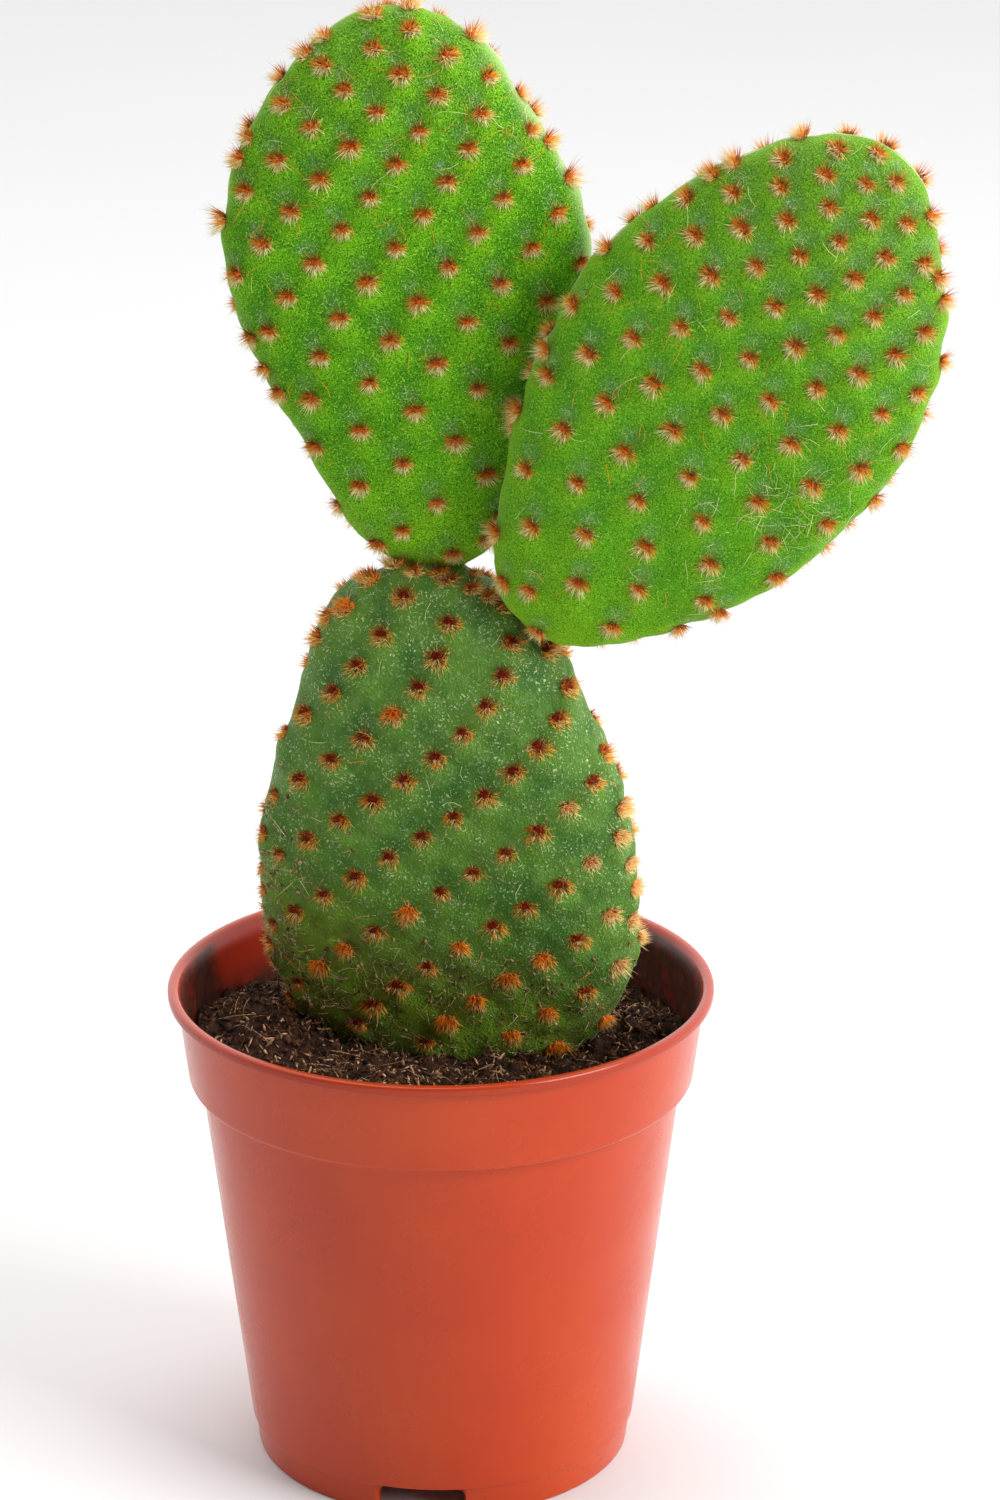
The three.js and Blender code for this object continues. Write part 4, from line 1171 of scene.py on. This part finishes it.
# Most old tufts are hollow. Low down more of them are fresh and flame orange, and at the
# lower right edge they are fluffy and pale. At the left foot they are short and dirty.
# Places are in millimetres from the old pad's middle.
old_x, _, old_height = old_tufts["spots"].T
old_edge_reach = edge_radius(OLD_PAD, np.arctan2(old_x, old_height))
low_share = np.clip((-8 - old_height) / 24, 0, 1)
flame = old_tufts["draw"].uniform(0, 1, len(old_x)) < 0.04 + 0.5 * low_share
dirty = (old_x < 0) & (np.hypot(old_x, old_height) > 0.82 * old_edge_reach) & (old_height < 6)
pale = (old_x > 0.6 * old_edge_reach) & (old_height < -2)
old_tufts["rim"] *= 0.45
old_tufts["pale"] = np.where(pale, 0.5, 0.0)
old_tufts["flame"] = np.where(flame & ~dirty, 1.0, 0.0)
old_tufts["hollow"] = np.where(dirty, 1.5, (1 - old_tufts["flame"]) * np.where(pale, 0.2, 1.0))
old_tufts["size"] *= np.where(dirty, 0.8, 1.0)
old_tufts["size"] *= (1.0 + 0.12 * np.clip(old_height / 25, 0, 1)) * np.where(pale, 0.9, 1.0)


def bristle_tufts(name, tufts, brush, fringe, stray_reach, cushion):
    """Tufts as one piece. The brush has its half width and height, its reach and its spread,
    the fringe its reach and its share of cream, and the cushion its half width and height and
    how far it stands out."""
    gather(name, [
        dense_brush(tufts, *brush), low_fringe(tufts, *fringe),
        stray_bristles(tufts, stray_reach), felt_cushions(tufts, *cushion),
    ], bristle)


bristle_tufts(
    "tufts_left", left_tufts, brush=((0.88, 0.64), 1.75, 0.74), fringe=(2.1, 0.9),
    stray_reach=2.4, cushion=((0.95, 0.7), 0.4),
)
bristle_tufts(
    "tufts_right", right_tufts, brush=((0.8, 0.58), 1.85, 0.85), fringe=(2.1, 0.8),
    stray_reach=2.6, cushion=((0.8, 0.6), 0.4),
)
bristle_tufts(
    "tufts_lower", old_tufts, brush=((1.25, 1.05), 1.9, 0.42), fringe=(1.6, 0.6),
    stray_reach=2.2, cushion=((1.25, 1.05), 0.3),
)


# ---------------------------------------------------------------------------------------
# Loose hairs on the skin: pale fuzz above each young tuft, fallen bristles caught on the
# young pads, and the short pale hairs and specks that stick to the old pad.
# ---------------------------------------------------------------------------------------
FUZZ_GREY, FUZZ_WHITE, HAIR_GREEN = shade(186, 204, 176), shade(240, 244, 232), shade(206, 222, 150)


def settled(pad, points):
    """Points of a pad's own frame brought onto its skin along the slope of its level, twice."""
    for _ in range(2):
        slope = skin_slope(pad, points)
        fall = (skin_level(pad, points) - 1) / np.sum(slope**2, axis=-1)
        points = points - slope * fall[:, None]
    return points


def lying_hairs(pad, draw, points, lengths, lift, width, tint, parts=3):
    """Hairs that lie on a pad: each starts at a point on its skin, runs in a random direction
    along it, and rises by the lift times its length with a little bow."""
    points = settled(pad, points)
    outward, upward, aside = skin_axes(pad, points)
    turn = draw.uniform(0, 2 * np.pi, len(points))[:, None]
    push = upward * np.sin(turn) + aside * np.cos(turn)
    end = settled(pad, points + push * lengths[:, None])
    lifted = (lift * lengths * draw.uniform(0.2, 1.0, len(points)))[:, None]
    root, end = swollen(pad, points) + outward * 0.03, swollen(pad, end) + outward * (0.08 + lifted)
    bow = outward * 0.1 * lengths[:, None] * draw.uniform(0.3, 1.2, len(points))[:, None]
    sideways = draw.normal(0, 1, len(points))[:, None]
    bow = bow + np.cross(push, outward) * 0.12 * lengths[:, None] * sideways
    return hairs(grown(pad, root), grown(pad, end), width, tint, tint, bow @ pad_turn(pad).T, parts)


def scattered(pad, draw, count):
    """Points strewn over a pad as seen face on: the reach is the root of an even share, and
    the turn is taken to the front or the back by chance."""
    angle = draw.uniform(0, 2 * np.pi, count)
    turn = np.arcsin(np.sqrt(draw.uniform(0, 1, count)))
    return pad_skin(pad, angle, np.where(draw.uniform(0, 1, count) < 0.5, turn, np.pi - turn))


def beside_tufts(tufts, pad, draw, count, across, rise, reach):
    """Points strewn in a bell beside each of a pad's tufts, in the pad's own frame."""
    spots = np.repeat(tufts["spots"], count, axis=0)
    _, upward, aside = skin_axes(pad, spots)
    shift = draw.normal(0, reach, (2, len(spots), 1))
    return spots + upward * (rise + shift[0]) + aside * (across + shift[1])


def fuzz(pad, tufts, seed, count):
    """The pale fuzz in the hollow above each tuft, thicker over some tufts than others."""
    draw = np.random.default_rng(seed)
    points = beside_tufts(tufts, pad, draw, count, -0.8, 2.2, 0.75)
    share = np.repeat(draw.uniform(0, 1, len(tufts["spots"])), count)
    points = points[draw.uniform(0, 1, len(points)) < 0.2 + share]
    tint = blended(FUZZ_GREY, FUZZ_WHITE, draw.uniform(0, 1, len(points)))
    return lying_hairs(pad, draw, points, draw.uniform(0.5, 1.9, len(points)), 0.8, 0.02, tint, 1)


def caught_bristles(pad, seed, reddish, creamy):
    """Single fallen bristles, 2 to 4.6 mm long: so many rust red, then so many cream."""
    draw = np.random.default_rng(seed)
    points = scattered(pad, draw, reddish + creamy)
    tint = blended(ORANGE, RUST, draw.uniform(0, 1, len(points)))
    tint[reddish:] = blended(CREAM, HAIR_GREEN, draw.uniform(0, 1, creamy))
    return lying_hairs(pad, draw, points, draw.uniform(2.0, 4.6, len(points)), 0.2, 0.045, tint)


def hair_drift(pad, middle, seed, count):
    """A drift of cream hairs that has gathered round a place on the front of a pad."""
    draw = np.random.default_rng(seed)
    x, z = draw.normal(0, (7.0, 6.5), (count, 2)).T + np.array(middle)[:, None]
    points = np.stack([x, np.full(count, -float(pad["half_thickness"])), z], axis=-1)
    points = points[np.hypot(x, z) < 0.93 * edge_radius(pad, np.arctan2(x, z))]
    tint = blended(CREAM, HAIR_GREEN, draw.uniform(0, 1.2, len(points)))
    return lying_hairs(pad, draw, points, draw.uniform(1.6, 4.2, len(points)), 0.25, 0.04, tint, 2)


gather("hairs_left", [
    fuzz(LEFT_PAD, left_tufts, 21, 14), caught_bristles(LEFT_PAD, 22, 150, 60),
], bristle)
gather("hairs_right", [
    fuzz(RIGHT_PAD, right_tufts, 23, 12), caught_bristles(RIGHT_PAD, 24, 110, 90),
    hair_drift(RIGHT_PAD, (22, -13), 25, 110),
], bristle)


def old_specks(seed, count):
    """Short pale hairs on the old pad, most of them below and round its tufts and near its tip."""
    draw = np.random.default_rng(seed)
    strewn = scattered(OLD_PAD, draw, count)
    strewn = strewn[draw.uniform(0, 1, count) < 0.16 + np.clip(strewn[:, 2] / 30, 0, 0.84)]
    points = np.concatenate([beside_tufts(old_tufts, OLD_PAD, draw, 15, 0.0, -1.6, 1.5), strewn])
    tint = blended(HAIR_GREEN, FUZZ_WHITE, draw.uniform(0, 1, len(points)))
    return lying_hairs(OLD_PAD, draw, points, draw.uniform(0.2, 1.1, len(points)), 0.4, 0.028, tint, 1)


gather("hairs_lower", [
    old_specks(26, 3200), caught_bristles(OLD_PAD, 27, 30, 40),
], bristle)


# ---------------------------------------------------------------------------------------
# The bristles at the joints: where a young pad grew from the old one, squashed tufts of rust
# bristles stand round its neck and fill the narrow gap.
# ---------------------------------------------------------------------------------------
# Places in the old pad's own frame, with the size of each tuft
JOINT_SPOTS = np.array([
    (-7.4, -0.9, 31.8, 1.1), (-11.0, -2.1, 30.0, 0.9), (-4.2, -2.6, 31.0, 0.8),
    (-0.6, -2.4, 31.3, 0.8), (4.6, -3.3, 29.1, 0.8), (7.1, -3.1, 27.9, 0.9),
    (4.8, -0.9, 30.8, 0.5), (-5.0, 3.5, 30.5, 1.0), (0.5, 3.6, 30.5, 1.0), (5.5, 3.2, 28.8, 1.0),
    (18.4, -1.4, 20.6, 0.9), (10.6, 1.8, 27.0, 0.9), (14.2, 3.4, 24.4, 1.0),
])

joint_tufts = tufts_at(OLD_PAD, settled(OLD_PAD, JOINT_SPOTS[:, :3]), 31, JOINT_SPOTS[:, 3])
joint_tufts["rim"] *= 0
joint_tufts["hollow"] += 0.6
bristle_tufts(
    "joint_bristles", joint_tufts, brush=((1.3, 0.8), 1.8, 0.9), fringe=(2.2, 0.7),
    stray_reach=2.6, cushion=((1.3, 0.9), 0.3),
)


# ---------------------------------------------------------------------------------------
# The loose top of the soil: clods, flakes of bark and root fibres that lie on the packed
# peat, with some dirt caught in the bristles at the old pad's left foot.
# ---------------------------------------------------------------------------------------
LITTER_DARK, LITTER_BROWN, LITTER_TAN = shade(16, 9, 6), shade(104, 62, 36), shade(226, 178, 130)


def tumbled(draw, count):
    """Random turns: two random directions made square to each other, and their cross."""
    first = unit(draw.normal(size=(count, 3)))
    second = draw.normal(size=(count, 3))
    second = unit(second - first * np.sum(first * second, axis=-1, keepdims=True))
    return np.stack([first, second, np.cross(first, second)], axis=1)


def clods(middles, sizes, stretch, draw, tints):
    """Rough lumps of twenty faces: two rings of five corners and two poles on a ball, each
    pushed in or out by chance, stretched along three axes and turned at random."""
    turns = np.arange(5) * 2 * np.pi / 5
    level, reach = 1 / np.sqrt(5), 2 / np.sqrt(5)
    low = np.stack([reach * np.cos(turns), reach * np.sin(turns), np.full(5, -level)], axis=-1)
    high = np.stack([
        reach * np.cos(turns + np.pi / 5), reach * np.sin(turns + np.pi / 5), np.full(5, level),
    ], axis=-1)
    corners = np.concatenate([low, high, [(0, 0, -1), (0, 0, 1)]])
    step, after = np.arange(5), (np.arange(5) + 1) % 5
    faces = np.concatenate([np.stack(three, axis=-1) for three in (
        (step, after, step + 5), (after, after + 5, step + 5),
        (after, step, np.full(5, 10)), (step + 5, after + 5, np.full(5, 11)),
    )])
    count = len(middles)
    pushed = corners * draw.uniform(0.65, 1.25, (count, 12, 1)) * np.asarray(stretch)
    points = middles[:, None, :] + sizes[:, None, None] * (pushed @ tumbled(draw, count))
    return points.reshape(-1, 3), copied(faces, 12, count), np.repeat(tints, 12, axis=0)


def on_soil(draw, count):
    """Places strewn evenly over the soil, outside the old pad."""
    turn, reach = draw.uniform(0, 2 * np.pi, count), SOIL_RADIUS * np.sqrt(draw.uniform(0, 0.94, count))
    x, y = reach * np.cos(turn), reach * np.sin(turn)
    points = np.stack([x, y, soil_surface(x, y)], axis=-1)
    return points[skin_level(OLD_PAD, within(OLD_PAD, points)) > 1.04]


def litter_tints(draw, count, pale):
    """Browns from nearly black to tan, of which the share that is pale is tan."""
    tint = blended(LITTER_DARK, LITTER_BROWN, draw.uniform(0, 1.3, count))
    is_pale = draw.uniform(0, 1, count) < pale
    return blended(tint, LITTER_TAN, np.where(is_pale, draw.uniform(0.3, 1, count), 0))


# Crumbs, clods and flakes: how many, their smallest and largest size, how they are stretched
# and the share of pale ones
LITTER_KINDS = [
    (2300, 0.25, 0.6, (1.0, 0.6, 0.45), 0.12),
    (220, 0.6, 1.3, (1.0, 0.65, 0.5), 0.04),
    (5600, 0.35, 1.3, (1.0, 0.22, 0.12), 0.30),
]


def loose_litter(seed):
    """Crumbs, clods and flakes on the soil, each sunk a little into it."""
    draw = np.random.default_rng(seed)
    parts = []
    for count, small, large, stretch, pale in LITTER_KINDS:
        middles = on_soil(draw, count)
        sizes = draw.uniform(small, large, len(middles))
        middles[:, 2] += 0.15 * sizes
        parts.append(clods(middles, sizes, stretch, draw, litter_tints(draw, len(middles), pale)))
    return parts


def soil_fibres(seed, count):
    """Root fibres that lie on the soil, 2.5 to 7.5 mm long, bent and partly lifted."""
    draw = np.random.default_rng(seed)
    root = on_soil(draw, count)
    count = len(root)
    turn, length = draw.uniform(0, 2 * np.pi, count), draw.uniform(2.5, 7.5, count)
    x, y = root[:, 0] + length * np.cos(turn), root[:, 1] + length * np.sin(turn)
    beyond = np.maximum(1, np.hypot(x, y) / (0.97 * SOIL_RADIUS))
    x, y = x / beyond, y / beyond
    end = np.stack([x, y, soil_surface(x, y) + draw.uniform(0.0, 1.2, count)], axis=-1)
    bow = draw.normal(0, 0.35, (count, 3)) + np.array([0, 0, 0.35])
    clear = skin_level(OLD_PAD, within(OLD_PAD, end)) > 1.02
    tint = litter_tints(draw, count, 0.4)
    return hairs(root[clear], end[clear], 0.07, tint[clear], tint[clear], bow[clear], 4)


litter, litter_shader = new_material("soil litter", Roughness=0.85, Specular_IOR_Level=0.25)
litter_cloud = noise(litter, place_on(litter), 2200.0, 4.0, 0.7)
litter_tint = kept_on(litter, "tint")[1]
litter_deep = mixed(litter, 0.6, litter_tint, LITTER_DARK)
litter_tone = mixed(litter, step_of(litter, litter_cloud, 0.6, 0.4), litter_tint, litter_deep)
finish_with(litter, litter_shader, litter_tone, litter_cloud, 0.0002)

gather("soil_litter", [*loose_litter(41), soil_fibres(42, 700)], litter)


def foot_dirt(seed, tries):
    """Crumbs and straws caught on the old pad's left foot, thickest at the edge and low down:
    of the points tried, those that chance keeps."""
    draw = np.random.default_rng(seed)
    points = scattered(OLD_PAD, draw, tries)
    x, _, z = points.T
    edge = np.hypot(x, z) / edge_radius(OLD_PAD, np.arctan2(x, z))
    left = np.clip((-6 - x) / 18, 0, 1) * edge**4
    want = left * np.clip((2 - z) / 20, 0, 1) + 0.5 * np.clip((-25 - z) / 8, 0, 1)
    points = points[draw.uniform(0, 1, len(points)) < want]
    sizes = draw.uniform(0.15, 0.5, len(points)) * draw.uniform(0.8, 1.4, len(points))
    tint = blended(LITTER_BROWN, LITTER_TAN, draw.uniform(-0.3, 0.9, len(points)))
    crumbs = clods(grown(OLD_PAD, swollen(OLD_PAD, points)), sizes, (1.0, 0.6, 0.4), draw, tint)
    roots = np.concatenate([points, points[::3]])
    tint = blended(LITTER_TAN, CREAM, draw.uniform(-0.6, 0.8, len(roots)))
    lengths = draw.uniform(0.8, 2.6, len(roots))
    return [crumbs, lying_hairs(OLD_PAD, draw, roots, lengths, 0.8, 0.035, tint)]


gather("pad_foot_dirt", foot_dirt(43, 9000), litter)
